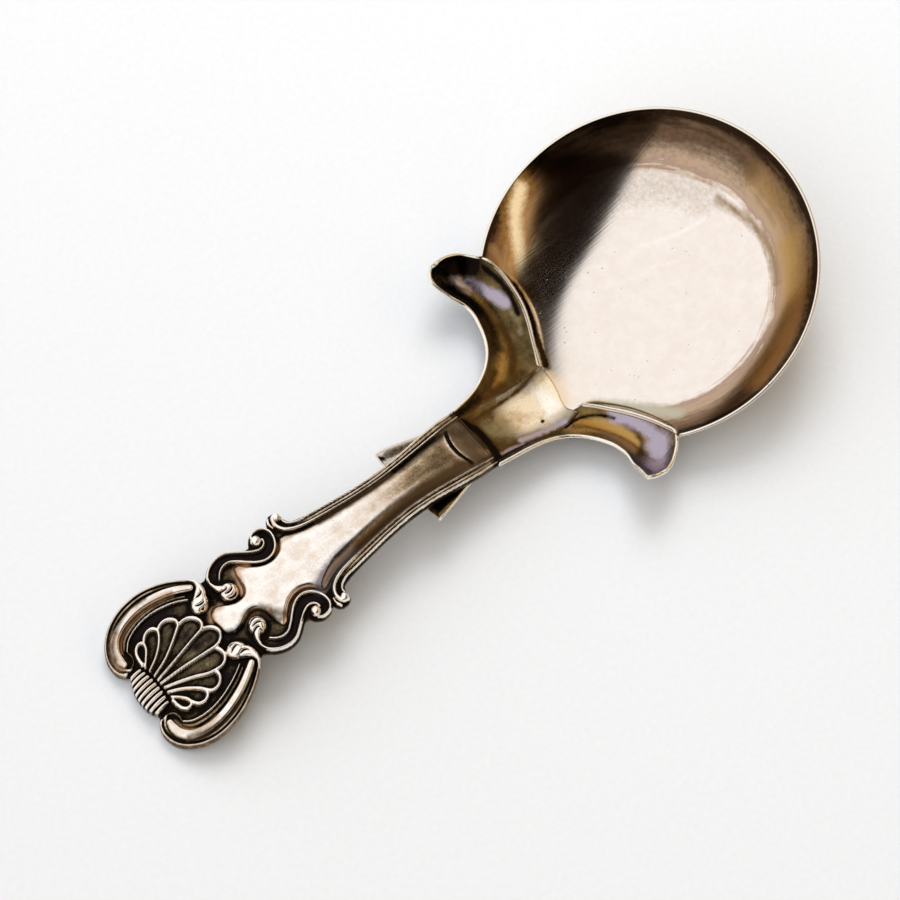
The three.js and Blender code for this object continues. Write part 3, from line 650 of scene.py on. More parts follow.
def boss(r):
    """The swelling under the shell, cut into reeds."""
    across = np.clip(np.abs(r.y) / BOSS_HALF, 0, 1)
    start = BOSS_TIP_X * np.sqrt(1 - BOSS_TIP_CURVE * across**2)
    end = BOSS_END_X - BOSS_END_CURVE * across**2
    along = (r.x - start) / (end - start)
    where = (across < 1) & (along > 0) & (along < 1)
    wave_start, wave_length = BOSS_WAVE
    swell = np.sin(math.pi * np.clip(wave_start + wave_length * along, 0, 1)) ** BOSS_WAVE_POWER
    gap = np.min([np.abs(r.y - reed) for reed in BOSS_REEDS], axis=0)
    cut = 1 - np.sqrt(np.clip(1 - (gap / BOSS_REED_HALF) ** 2, 0, 1))
    height = BOSS_FOOT + BOSS_HEIGHT * swell * (1 - BOSS_SIDE_FALL * across**2) - BOSS_REED_DEPTH * cut
    film = FILM["boss"] + FILM["boss_tip"] * (1 - step_up(r.x, *BOSS_WORN_X))
    film += FILM["boss_gap"] * cut + FILM["boss_end"] * across**4
    r.put(where, height, "shell_base")
    r.film[where] = film[where]


def blank_field(r, d):
    """The blank's own face at a distance in from its edge: its level, its rim, and the film on them."""
    lobe = (np.abs(r.y) > LOBE_EDGE_Y) & (r.x < LOBE_END_X)
    rim = HEAD_FIELD + RIM_STEP_HEIGHT * (1 - step_up(d, *RIM_STEP))
    rim += sum(height * soft((d - place) / half) for place, half, height in RIM_LINES)
    open_field = np.where(r.x < STEM_FIELD_X[0], HEAD_FIELD, STEM_FIELD * step_up(r.x, *STEM_FIELD_X))
    r.h = np.where(lobe, rim, open_field)
    crest_place, crest_half = RIM_CREST
    rim_film = FILM["rim"] + FILM["rim_crest"] * soft((d - crest_place) / crest_half)
    r.film = np.where(lobe & (d < RIM_FILM_END), rim_film, FILM["field"])


def gather_oxide(r):
    """Oxide in each point's hollows, with the film that lies there."""
    narrow = (blur(r.h, NARROW_REACH / r.step) - r.h) / NARROW_DEPTH
    wide = (blur(r.h, WIDE_REACH / r.step) - r.h) / WIDE_DEPTH
    low_ground = 1 - step_up(r.h, *LOW_GROUND)
    hollows = NARROW_SHARE * np.clip(narrow, -1, 1) + WIDE_SHARE * np.clip(wide, -1, 1)
    return hollows + LOW_SHARE * low_ground + r.film


def strike():
    """The whole relief with its distance from the blank's edge and the oxide that lies in it."""
    outline = blank_outline()
    low = (BOSS_TIP_X - GRID_MARGIN, -GRID_HALF_Y)
    high = (HANDLE_END_X + GRID_MARGIN, GRID_HALF_Y)
    r = Relief(low, high, RELIEF_STEP)
    # Every third point of the outline is close enough to measure from
    d, _ = nearest(r.x, r.y, np.concatenate([outline, outline[:1]])[::3])
    d = np.where(inside(r.x, r.y, outline), d, -d)
    blank_field(r, d)
    scallop(r)
    boss(r)
    crown(r)
    lap_plate(r)
    for side, side_name in SIDES:
        head_ornament(r, side, side_name)
        scroll_ornament(r, side, side_name)
        thread_ornament(r, side, side_name)
    # Darker at the lap joint: a dark seam, and painted shadow in its gap
    r.film[r.x > LAP_X - SEAM_LENGTH] += FILM["seam"]
    r.h = blur(r.h, STRIKE_SOFTNESS / r.step)
    r.oxide = gather_oxide(r)

    total = face(r.x) + r.h + rounding(d)
    slope_x, slope_y = np.gradient(total, r.step)
    r.normal = np.stack([-slope_x, -slope_y, np.ones_like(slope_x)], -1)
    r.normal /= np.linalg.norm(r.normal, axis=-1, keepdims=True)
    # Points within half a step of the edge move onto it
    grad_x, grad_y = np.gradient(d, r.step)
    on_edge = np.abs(d) < 0.5 * r.step
    r.x[on_edge] -= (grad_x * d)[on_edge]
    r.y[on_edge] -= (grad_y * d)[on_edge]
    d[on_edge] = 0
    r.d = d
    # A cell belongs to the blank where at least three of its corners do
    r.held = np.stack([at_corner(d, *corner) >= 0 for corner in CORNERS])
    deep = np.stack([at_corner(d, *corner) > 0 for corner in CORNERS]).any(0)
    r.cell = (r.held.sum(0) >= 3) & deep
    owners = [at_corner(r.owner, *corner) for corner in CORNERS]
    r.cell_owner = np.where(r.cell, np.select([own > 0 for own in owners], owners, 0), -1)
    return r


def rounding(distance):
    """How far a rounded edge falls away at a distance in from it."""
    d = np.clip(distance, 0, EDGE_ROUND)
    return -(EDGE_ROUND - np.sqrt(EDGE_ROUND**2 - (EDGE_ROUND - d) ** 2))


def relief_piece(r, name, material):
    """One piece of the struck handle as a closed body, cut from the relief."""
    number = PIECES.index(name)
    is_blank = name == "handle_plate"
    ci, cj = np.nonzero(r.cell if is_blank else r.cell_owner == number)
    flat = np.arange(r.x.size).reshape(r.x.shape)
    quads = np.stack([flat[ci + di, cj + dj] for di, dj in CORNERS], 1)
    held = r.held[:, ci, cj].T
    whole = held.all(1)
    used = np.unique(quads[held])
    count = len(used)
    index = np.zeros(r.x.size, int)
    index[used] = np.arange(count)
    faces = index[quads[whole]].tolist()
    faces += [index[quad[keep]].tolist() for quad, keep in zip(quads[~whole], held[~whole])]
    sides = {(a, b) for f in faces for a, b in zip(f, f[1:] + f[:1])}
    free = [(a, b) for a, b in sides if (b, a) not in sides]

    x, y, h, d = (grid.ravel()[used] for grid in (r.x, r.y, r.h, r.d))
    if is_blank:
        over = np.pad(r.cell_owner > 0, 1)
        buried = (over[:-1, :-1] & over[1:, :-1] & over[:-1, 1:] & over[1:, 1:]).ravel()[used]
        top = np.where(buried, np.minimum(h - BURIED_DEPTH, BURIED_TOP), h)
        bottom = -PLATE_THICKNESS - rounding(d)
    else:
        top = h
        bottom = np.minimum(h - APPLIED_DEPTH, APPLIED_SEAT)
    upper = np.stack([x, y, face(x) + top + rounding(d)], 1)
    lower = np.stack([x, y, face(x) + bottom], 1)
    faces += [[p + count for p in f[::-1]] for f in faces]
    faces += [[b, a, a + count, b + count] for a, b in sorted(free)]
    marks = strokes(upper, HANDLE_STROKES)
    marks = {tone: np.concatenate([values, values]) for tone, values in marks.items()}
    marks["oxide"] = np.concatenate([r.oxide.ravel()[used], np.full(count, FILM["back"])])
    above = r.normal.reshape(-1, 3)[used]
    below = np.where((d < EDGE_ROUND)[:, None], above, [0, 0, 1.0]) * [1, 1, -1]
    points, normals = np.concatenate([upper, lower]), np.concatenate([above, below])
    return make_piece(name, points, faces, material, marks, normals)


# Tarnish strokes on the handle as tone, half width, strength and plan line; some are painted shade, shadow,
# reflection and highlight, as marked
HANDLE_STROKES = [
    ("straw", 2.2, 0.22, [(32.5, 0.4), (36.0, 0.2), (41.0, 0)]),
    ("shade", 0.9, 0.3, [(42.4, 1.4), (43.0, 0.4), (43.3, -0.6)]),
    # Painted highlight at the lap plate's lower end
    ("straw", 0.5, 0.7, [(42.9, -1.6), (43.7, -2.2)]),
    ("umber", 1.6, 0.8, [(42.6, 2.0), (43.0, 0), (42.6, -2.0)]),
    # Painted shadow in the gap between the crown's arc and the lap plate
    ("shade", 0.25, 0.7, [(41.9, 2.3), (41.35, 1.2), (41.2, 0), (41.35, -1.2), (41.9, -2.3)]),
    # Painted dark reflection on the crown's right flank near the head
    ("umber", 0.5, 0.7, [(11.4, -1.7), (12.6, -1.1), (13.4, -0.8), (14.2, -1.3)]),
    ("straw", 0.4, 0.5, [(15.5, -3.7), (16.6, -2.9), (17.6, -2.3), (18.8, -2.15), (19.9, -2.7)]),
    ("shade", 1.0, 0.4, [(42.4, 1.6), (43.4, 1.2)]),
    ("umber", 0.5, 0.8, [(25.0, 2.3), (30.0, 1.9), (34.0, 1.8)]),
    # Painted dark reflection along the crown's right flank, in these two strokes
    ("umber", 0.7, 0.9, [(26.0, -2.3), (29.0, -2.0), (34.0, -1.7), (38.0, -1.9), (41.0, -2.2)]),
    ("violet", 0.75, 0.9, [(20.6, -3.2), (21.8, -2.7), (23.4, -2.3), (25.4, -2.0)]),
    # Painted shade at the lower side of the crown's start
    ("shade", 0.5, 0.8, [(9.9, -1.0), (10.6, -1.5), (11.8, -1.6)]),
    ("straw", 0.45, 0.75, [(14.2, 1.5), (14.7, 2.6), (15.1, 3.7), (16.2, 3.4)]),
    # Painted shadow beside the right S leaf
    ("shade", 0.3, 0.6, [(14.2, -1.6), (14.7, -2.6), (15.1, -3.5)]),
    ("umber", 0.6, 0.7, [(14.5, -1.4), (15.1, -2.4), (15.8, -3.3)]),
    ("straw", 0.5, 0.6, [(9.9, 1.2), (10.4, 1.7), (11.3, 1.6)]),
    ("straw", 0.35, 0.5, [(19.4, 2.4), (20.6, 3.1), (22.2, 2.9)]),
    ("umber", 0.3, 0.7, [(0.0, 5.0), (0.6, 6.3), (2.0, 7.3), (4.0, 7.9), (6.0, 7.6)]),
    ("umber", 0.3, 0.7, [(0.6, -6.6), (2.2, -7.4), (4.6, -7.9), (7.4, -7.4)]),
    ("straw", 0.8, 0.45, [(0.1, 4.4), (0.4, 5.6), (1.5, 6.8)]),
    ("straw", 0.3, 0.7, [(0.9, 5.2), (1.7, 6.3), (2.9, 6.85), (4.4, 7.02), (6.4, 6.8), (8.4, 6.1)]),
    ("straw", 0.35, 0.6, [(0.5, -4.2), (0.95, -5.6), (2.0, -6.75), (4.0, -7.1)]),
    ("shade", 0.3, 0.9, [(12.6, 4.7), (13.3, 5.3), (14.4, 5.55), (15.4, 5.15), (16.5, 4.25), (17.6, 3.5),
                         (18.6, 3.25), (19.4, 3.6), (19.8, 4.3)]),
    ("shade", 0.3, 0.9, [(12.6, -4.85), (13.3, -5.45), (14.4, -5.7), (15.4, -5.3), (16.5, -4.4), (17.6, -3.6),
                         (18.6, -3.35), (19.4, -3.7), (19.8, -4.4)]),
    ("shade", 0.6, 0.7, [(7.0, 0.1), (8.2, -0.1), (8.6, -0.2)]),
    ("shade", 0.5, 0.7, [(6.6, 1.7), (7.6, 2.0)]),
    ("shade", 0.5, 0.7, [(3.2, 5.4), (5.5, 5.4), (7.4, 4.8)]),
    ("shade", 0.5, 0.7, [(6.8, -4.9), (7.6, -4.4)]),
]


# Bowl, neck and shoulders, worked out in the bowl's own frame

def dish(x, y):
    """Height of the bowl's inside, and the distance from its middle as a share of the way to the rim."""
    dx = x - BOWL_X
    reach = np.hypot(dx / INSIDE_X, y / INSIDE_Y)
    rim = RIM_HEIGHT + RIM_SLOPE * dx / np.maximum(reach, 1e-6)
    rise = (np.clip(reach - FLAT_FRACTION, 0, None) / (1 - FLAT_FRACTION)) ** DISH_POWER
    return BOWL_SHEET + (rim - BOWL_SHEET) * rise, reach


def dish_normal(x, y):
    """Which way the bowl's inside faces."""
    step = 0.05
    slope_x = (dish(x + step, y)[0] - dish(x - step, y)[0]) / (2 * step)
    slope_y = (dish(x, y + step)[0] - dish(x, y - step)[0]) / (2 * step)
    normal = np.stack([-slope_x, -slope_y, np.ones_like(slope_x)], -1)
    return normal / np.linalg.norm(normal, axis=-1, keepdims=True)


# Rows of each shoulder, from the lap to the ear's tip: inner edge x, y, height, outer edge x, y, height,
# depth of the trough between them. In the ridge's rows the inner height is over the bowl's own surface.
SHOULDERS = {
    1: {
        "root": [
            (44.3, 2.5, 3.9, 44.15, 3.62, 4.75, 0.1), (47.3, 2.1, 3.2, 46.6, 3.78, 4.4, 0.14),
            (50.3, 1.65, 2.5, 48.6, 4.2, 3.95, 0.22), (52.9, 1.45, 2.0, 50.2, 4.85, 3.6, 0.35),
        ],
        "ridge": [
            (55.5, 1.8, 0.02, 51.5, 5.6, 3.35, 0.5), (56.8, 3.7, 0.16, 52.6, 6.5, 3.17, 0.65),
            (57.7, 5.1, 0.28, 53.3, 7.3, 3.07, 0.8), (58.66, 6.66, 0.36, 53.95, 8.35, 3.0, 0.95),
            (59.5, 8.5, 0.4, 54.5, 9.6, 3.0, 1.1), (59.95, 10.4, 0.4, 54.9, 10.9, 3.1, 1.2),
            (60.1, 12.4, 0.38, 54.85, 12.3, 3.45, 1.4), (59.75, 14.1, 0.2, 54.2, 13.7, 4.3, 1.6),
        ],
        "tip": [
            (59.05, 15.25, 4.2, 53.7, 14.6, 5.3, 1.6), (58.4, 16.15, 4.3, 53.45, 15.35, 6.0, 1.35),
            (57.55, 16.82, 4.6, 53.55, 16.05, 6.3, 1.0), (56.6, 17.1, 4.95, 54.0, 16.55, 6.2, 0.55),
            (55.7, 17.12, 5.3, 54.6, 16.95, 5.9, 0.15),
        ],
    },
    -1: {
        "root": [
            (44.3, 2.6, 3.9, 44.15, 3.72, 4.75, 0.06), (47.0, 3.25, 3.3, 46.8, 4.3, 4.35, 0.08),
            (49.0, 3.8, 2.85, 49.0, 4.8, 3.9, 0.1), (51.0, 4.3, 2.4, 50.5, 5.3, 3.5, 0.16),
            (53.0, 4.5, 2.0, 51.3, 5.75, 3.3, 0.28),
        ],
        "ridge": [
            (55.75, 4.35, 0.06, 52.3, 6.5, 3.15, 0.5), (56.5, 5.3, 0.16, 53.0, 7.2, 3.05, 0.7),
            (57.2, 6.5, 0.24, 53.6, 8.0, 3.0, 0.85), (58.25, 8.4, 0.32, 54.25, 9.15, 3.0, 1.05),
            (59.1, 10.7, 0.36, 54.72, 10.6, 3.1, 1.2), (59.5, 12.7, 0.34, 54.65, 12.3, 3.55, 1.35),
            (59.6, 14.0, 0.22, 54.15, 13.6, 4.2, 1.45),
        ],
        "tip": [
            (58.9, 14.95, 4.2, 53.9, 14.6, 4.95, 1.3), (57.9, 15.7, 4.35, 53.7, 15.4, 5.5, 1.0),
            (56.8, 16.32, 4.7, 53.52, 15.95, 5.9, 0.65), (55.6, 16.72, 5.15, 53.5, 16.22, 6.1, 0.3),
        ],
    },
}
SHOULDER_MESH = (130, 32)
NOTCH = {1: (59.38, 14.9), -1: (59.45, 14.86)}
# Where the neck's sheet ends on the bowl, as y and x
NECK_END = [
    (-4.8, 54.9), (-4.2, 54.5), (-3.5, 54.2), (-2.6, 54.4), (-1.6, 54.9), (-0.6, 55.3), (1.4, 55.75),
    (2.4, 55.95),
]
# How far the bowl's sheet runs on under the neck's, and how it dips there
NECK_LAP = 0.7
NECK_DIP = 0.4
NECK_DIP_POWER = 1.5
NECK_DIP_END = 1.2

# The bowl's mesh: shares of the way from its middle to its outline, closer together towards the rim
BOWL_SHARES = np.r_[np.linspace(0.04, 0.8, 30), np.linspace(0.815, 0.955, 14), np.linspace(0.962, 1, 11)]
RIM_POINTS = 280
MOUTH_POINTS = 16
# Rows round the rim's edge, and how far they stand out as a share of the sheet
RIM_EDGE_ROWS = 6
RIM_EDGE_ROUND = 0.45
# How far in from the outline a ridge's lift fades, and where the sheet thins towards the rim
RIDGE_FADE = 0.6
RIM_THINNING = (0.75, 1.0)
# The ring of tarnish and painted dark reflection near the rim stops at the mouth and at the ridges, where
# the share of the way to the rim that the material reads goes no higher than this
MOUTH_MIDDLE_Y = -1.0
MOUTH_HALF = (3.5, 8.0)
MOUTH_X = (57.0, 63.0)
MOUTH_REACH = 0.6
RIDGE_REACH = 0.93


def neck_end(y):
    """Where the neck's sheet ends along the bowl, at a place across it."""
    return read_off(smooth(NECK_END, 60), y)


def ridge_rows(side):
    """The ridge's rows, with the inner height over the table."""
    return [(x, y, float(dish(x, y)[0]) + lift, *rest) for x, y, lift, *rest in SHOULDERS[side]["ridge"]]


def shoulder_rows(side):
    """All rows of one shoulder, in order."""
    return SHOULDERS[side]["root"] + ridge_rows(side) + SHOULDERS[side]["tip"]


def ridge(side, count=56):
    """Crest between bowl and shoulder, from the neck's mouth to the notch in the rim."""
    marks = [(x, side * y, z) for x, y, z, *_ in ridge_rows(side)]
    x, y = NOTCH[side]
    return smooth(marks + [(x, side * y, float(dish(x, y)[0]))], count)


def bowl_outline():
    """Inner edge of the bowl's sheet: left ridge, mouth, right ridge and rim. Also which points are rim."""
    left, right = ridge(1)[::-1], ridge(-1)
    y = np.linspace(left[-1, 1], right[0, 1], MOUTH_POINTS)[1:-1]
    x = neck_end(y) - NECK_LAP
    mouth = np.stack([x, y, dish(x, y)[0]], 1)
    angle = np.pi + NOTCH_ANGLE + np.linspace(0, 1, RIM_POINTS)[1:-1] * 2 * (np.pi - NOTCH_ANGLE)
    x = BOWL_X + INSIDE_X * np.cos(angle)
    y = INSIDE_Y * np.sin(angle)
    rim = np.stack([x, y, dish(x, y)[0]], 1)
    outline = np.concatenate([left, mouth, right, rim])
    return outline, np.r_[np.zeros(len(outline) - len(rim)), np.ones(len(rim))]


def bowl_piece(material):
    """The raised bowl as one closed skin: inside, rounded edge, outside."""
    outline, is_rim = bowl_outline()
    lift = outline[:, 2] - dish(outline[:, 0], outline[:, 1])[0]
    radius = np.hypot(outline[:, 0] - BOWL_X, outline[:, 1])
    inner, outer, reaches = [], [], []
    for share in BOWL_SHARES:
        x = BOWL_X + (outline[:, 0] - BOWL_X) * share
        y = outline[:, 1] * share
        z, reach = dish(x, y)
        z = z + lift * soft((1 - share) * radius / RIDGE_FADE)
        under_neck = np.clip((neck_end(y) - x) / NECK_LAP, 0, NECK_DIP_END)
        z = z - NECK_DIP * under_neck**NECK_DIP_POWER
        sheet = BOWL_SHEET + (RIM_SHEET - BOWL_SHEET) * step_up(share, *RIM_THINNING)
        inside_row = np.stack([x, y, z], 1)
        outside_row = inside_row - sheet * dish_normal(x, y)
        outside_row[:, 2] = np.maximum(outside_row[:, 2], 0)
        inner.append(inside_row)
        outer.append(outside_row)
        at_mouth = (1 - step_up(np.abs(y - MOUTH_MIDDLE_Y), *MOUTH_HALF)) * (1 - step_up(x, *MOUTH_X))
        reaches.append(reach * (1 - at_mouth) + np.minimum(reach, MOUTH_REACH) * at_mouth)
    away = inner[-1] - inner[-2]
    away /= np.linalg.norm(away, axis=1, keepdims=True)
    middle, half = (inner[-1] + outer[-1]) / 2, (inner[-1] - outer[-1]) / 2
    turns = np.linspace(0, math.pi, RIM_EDGE_ROWS + 2)[1:-1]
    edge = [middle + half * math.cos(a) + away * RIM_SHEET * RIM_EDGE_ROUND * math.sin(a) for a in turns]
    loops = inner + edge + outer[::-1]
    points, faces = skin(loops)

    # Marks for the material, row by row. The last two are the middles of the inside and the outside.
    n = len(outline)
    inner_reach = [row * is_rim + np.minimum(row, RIDGE_REACH) * (1 - is_rim) for row in reaches]
    marks = strokes(points, BOWL_STROKES)
    marks["reach"] = np.concatenate(inner_reach + [np.ones(n)] * len(edge) + reaches[::-1] + [[0, 0]])
    marks["within"] = np.r_[np.ones(n * len(inner)), np.zeros(n * (len(edge) + len(outer))), 1, 0]
    # The rim's edge is lightened in the material for wear and a painted highlight
    worn_and_highlight = np.r_[np.zeros(len(inner) - 1), 0.5, np.ones(len(edge)), np.zeros(len(outer))]
    marks["worn_and_highlight"] = np.r_[np.outer(worn_and_highlight, is_rim).ravel(), 0, 0]
    return make_piece("bowl", turned(points), outward(points, faces), material, marks)


# Points round each long edge of a bent sheet, and rows that round off its ends. The last row keeps a
# share of the section, so that its two sides don't fall together.
EDGE_ARC = 4
END_ROWS = 4
LAST_ROW_SHARE = 0.05
# How much of the edges' lightening, for rubbing and painted highlight, reaches the points beside them
BESIDE_EDGE_WEAR_AND_HIGHLIGHT = 0.3


def sheet_loops(top, thickness):
    """Closed section loops of a bent sheet whose upper side is a grid of points, with rounded edges."""
    top = np.asarray(top, float)
    along = np.gradient(top, axis=0)
    across = np.gradient(top, axis=1)
    normal = np.cross(along, across)
    normal /= np.linalg.norm(normal, axis=2, keepdims=True)
    normal *= np.sign(normal[..., 2:].mean())
    bottom = top - normal * thickness
    turn = np.linspace(0, math.pi, EDGE_ARC + 2)[1:-1]
    loops = []
    for upper, lower in zip(top, bottom):
        arcs = []
        for k, inner, turns in ((-1, -2, turn), (0, 1, turn[::-1])):
            out = upper[k] - upper[inner]
            out /= np.linalg.norm(out)
            centre, half = (upper[k] + lower[k]) / 2, (upper[k] - lower[k]) / 2
            arcs.append([centre + half * math.cos(a) + out * thickness / 2 * math.sin(a) for a in turns])
        loops.append(np.concatenate([upper, arcs[0], lower[::-1], arcs[1]]))
    return np.array(loops)


def section_middle(loop):
    """Middle line of a section loop, point by point."""
    columns = len(loop) // 2 - EDGE_ARC
    top, bottom = loop[:columns], loop[columns + EDGE_ARC:2 * columns + EDGE_ARC][::-1]
    middle = (top + bottom) / 2
    return np.concatenate([middle, [middle[-1]] * EDGE_ARC, middle[::-1], [middle[0]] * EDGE_ARC])


def round_ends(loops, thickness, first=True, last=True):
    """Adds rows at the ends that close the sheet with a rounded edge."""
    loops = list(loops)
    for k, inner, wanted in ((0, 1, first), (-1, -2, last)):
        if not wanted:
            continue
        end = loops[k]
        out = (end - loops[inner]).mean(0)
        out /= np.linalg.norm(out)
        middle = section_middle(end)
        extra = []
        for a in np.linspace(0, math.pi / 2, END_ROWS + 1)[1:]:
            size = max(math.cos(a), LAST_ROW_SHARE)
            extra.append(middle + (end - middle) * size + out * thickness / 2 * math.sin(a))
        loops = extra[::-1] + loops if k == 0 else loops + extra
    return np.array(loops)


def edge_wear_and_highlight(rows, columns, first=0, last=0):
    """1 on the rounded edges of a sheet's skin, less beside them: lightened for rubbing and a painted
    highlight. first and last are rows at its ends.
    """
    loop = np.zeros(2 * columns + 2 * EDGE_ARC)
    loop[columns:columns + EDGE_ARC] = loop[-EDGE_ARC:] = 1
    loop[[0, columns - 1]] = BESIDE_EDGE_WEAR_AND_HIGHLIGHT
    worn_and_highlight = np.tile(loop, (rows, 1))
    worn_and_highlight[:first] = 1
    worn_and_highlight[rows - last:] = 1
    return np.r_[worn_and_highlight.ravel(), 0, 0]


def square(x, y):
    """The neck's start is cut square to the handle, though the bowl's frame is turned."""
    return x + y * math.tan(BOWL_TURN) * (1 - step_up(x, NECK_START_X, NECK_SQUARE_X))


def shoulder_piece(side, side_name, material):
    """One curled trough. Between its edges it sags as a parabola."""
    rows = smooth(shoulder_rows(side), SHOULDER_MESH[0])
    across = np.linspace(0, 1, SHOULDER_MESH[1])
    inner, outer, depth = rows[:, None, 0:3], rows[:, None, 3:6], rows[:, 6:7]
    points = inner + (outer - inner) * across[:, None]
    x, y = points[..., 0], side * points[..., 1]
    z = points[..., 2] - depth * 4 * across * (1 - across)
    loops = sheet_loops(np.stack([square(x, y), y, z], -1), SHOULDER_SHEET)
    loops = round_ends(loops, SHOULDER_SHEET, first=False)
    points, faces = skin(loops)
    marks = strokes(points, SHOULDER_STROKES[side])
    marks["worn_and_highlight"] = edge_wear_and_highlight(len(loops), len(across), last=END_ROWS + 1)
    faces = outward(points, faces)
    return make_piece(f"shoulder_{side_name}", turned(points), faces, material, marks)


# Middle height of the neck's floor, and its two side edges, which run under the shoulders' troughs
NECK_FLOOR = [(NECK_START_X, 4.1), (47.3, 3.42), (50.3, 2.77), (52.9, 2.25), (54.5, 1.97), (55.8, 1.68)]
NECK_LEFT = [(NECK_START_X, 2.9), (47.3, 2.55), (50.3, 2.15), (52.9, 1.95), (55.9, 1.95)]
NECK_RIGHT = [(NECK_START_X, -2.95), (47, -3.5), (49, -4.1), (51, -4.6), (53, -4.85), (55.0, -4.5)]
NECK_SAG = 0.1
NECK_BLEND = 2.6
NECK_OVER_BOWL = 0.07
NECK_MESH = (70, 40)


def neck_piece(material):
    """The channel, whose end lies on the bowl's mouth."""
    left, right = smooth(NECK_LEFT, 80), smooth(NECK_RIGHT, 80)
    along = np.linspace(0, 1, NECK_MESH[0])[:, None]
    across = np.linspace(0, 1, NECK_MESH[1])[None, :]
    x = NECK_START_X + (NECK_RIGHT[-1][0] - NECK_START_X) * along
    # The end's place depends on y and the sides' places on x, so both are worked out three times over
    for _ in range(3):
        y = read_off(left, x) * (1 - across) + read_off(right, x) * across
        end = neck_end(y)
        x = NECK_START_X + (end - NECK_START_X) * along
    z = read_off(smooth(NECK_FLOOR, 80), x) - NECK_SAG * (1 - (2 * across - 1) ** 2)
    on_bowl = step_up(x, end - NECK_BLEND, end)
    z = z * (1 - on_bowl) + (dish(x, y)[0] + NECK_OVER_BOWL) * on_bowl
    loops = sheet_loops(np.stack([square(x, y), y, z], -1), SHOULDER_SHEET)
    points, faces = skin(round_ends(loops, SHOULDER_SHEET))
    marks = strokes(points, NECK_STROKES)
    marks["worn_and_highlight"] = np.zeros(len(points))
    return make_piece("neck_channel", turned(points), outward(points, faces), material, marks)


# Tail of the bowl's sheet: half width along the handle, how far its wings stand up, and how its end
# curls down
TAIL_HALF = [
    (34.6, 4.9), (35.4, 4.78), (37.5, 4.28), (39.7, 3.72), (41.5, 3.3), (43, 3.0), (NECK_START_X, 2.6),
    (46.6, 2.4),
]
TAIL_WING = [(34.6, 0.45), (35.4, 0.5), (41, 0.03), (43, 0), (47, 0)]
TAIL_WING_FROM = 0.74
TAIL_LIP = [(34.62, -0.62), (34.66, -0.35), (34.8, -0.14), (35.05, -0.03), (35.4, 0.0)]
TAIL_STRAIGHT_X = (35.8, 46.6)
TAIL_BEND_X = (41.0, NECK_START_X)
TAIL_UNDER_PLATE = 0.12
TAIL_UNDER_NECK = 0.22
TAIL_DRIFT = 0.12
TAIL_SKEW = 0.55
TAIL_SKEW_X = (36.0, 42.0)
TAIL_MESH = (40, 41)


def tail_piece(material):
    """The flared tail, held between the handle's end and the neck."""
    xs = np.r_[[x for x, _ in TAIL_LIP], np.linspace(*TAIL_STRAIGHT_X, TAIL_MESH[0])]
    drop = np.r_[[z for _, z in TAIL_LIP], np.zeros(TAIL_MESH[0])]
    held = np.maximum(xs, TAIL_LIP[-1][0])
    under_plate = face(held) - PLATE_THICKNESS - TAIL_UNDER_PLATE
    under_neck = read_off(smooth(NECK_FLOOR, 80), held) - SHOULDER_SHEET - TAIL_UNDER_NECK
    bend = step_up(held, *TAIL_BEND_X)
    z = under_plate * (1 - bend) + under_neck * bend + drop
    across = np.linspace(-1, 1, TAIL_MESH[1])
    wing = read_off(TAIL_WING, xs)[:, None] * step_up(np.abs(across), TAIL_WING_FROM, 1.0)
    y = across * read_off(TAIL_HALF, xs)[:, None] + TAIL_DRIFT
    skew = TAIL_SKEW * (1 - across) / 2 * (1 - step_up(xs, *TAIL_SKEW_X))[:, None]
    top = np.stack([xs[:, None] + skew, y, z[:, None] + wing], -1)
    loops = round_ends(sheet_loops(top, TAIL_SHEET), TAIL_SHEET)
    points, faces = skin(loops)
    marks = strokes(points, TAIL_STROKES)
    marks["worn_and_highlight"] = edge_wear_and_highlight(len(loops), len(across), first=END_ROWS + 2)
    return make_piece("neck_tail", points, outward(points, faces), material, marks)


# Tarnish strokes as tone, half width, strength and plan line, in the bowl's frame; some are painted
# reflections and highlights, as marked. Silver sulphide goes from straw through brown to violet as its film
# thickens.
BOWL_STROKES = [
    # Painted dark reflection along the flank of the left ridge
    ("shade", 0.5, 1.0, [(56.4, 1.6), (57.3, 3.2), (58.2, 4.9), (59.2, 6.6), (60.0, 8.5), (60.5, 10.5)]),
    ("olive", 0.9, 0.8, [(57.0, -5.6), (58.9, -7.8), (60.6, -10.2), (61.8, -12.4)]),
    # Painted gold highlight on the left wall, a painted darker reflection beside it, and a painted bright
    # highlight along it
    ("straw", 1.5, 0.6, [(68.2, 17.2), (66.2, 16.2), (64.4, 14.2), (62.6, 11.8), (60.8, 9.2)]),
    ("umber", 0.6, 0.6, [(61.4, 14.6), (61.0, 12.6), (60.2, 10.4), (59.2, 8.4)]),
    ("rubbed_and_highlight", 0.8, 0.8, [(68.0, 17.0), (66.2, 16.0), (64.6, 14.2), (63.2, 12.2), (62.2, 10.4)]),
    # Darker and gold bands near the rim: tarnish, and painted reflections of the room
    ("shade", 1.7, 0.42, [(74.0, 16.0), (79.4, 13.2), (83.2, 9.2), (85.4, 4.6), (85.9, 0.2)]),
    ("straw", 1.5, 0.42, [(85.6, -0.4), (84.8, -4.8), (82.8, -8.6)]),
    ("straw", 1.5, 0.72, [(83.0, -8.2), (79.4, -12.4), (75.0, -15.0), (69.6, -16.2)]),
    ("umber", 0.4, 0.8, [(82.4, 1.6), (82.7, -2.6), (81.7, -6.9), (79.4, -10.2)]),
    ("umber", 2.6, 0.3, [(73.0, 11.6), (77.0, 9.6), (80.4, 6.6), (81.8, 3.0)]),
    ("rubbed_and_highlight", 0.3, 0.6, [(74.2, 4.6), (77.0, 3.0), (80.4, 1.4)]),
    ("rubbed_and_highlight", 0.25, 0.4, [(72.6, 2.6), (75.6, 0.6)]),
]
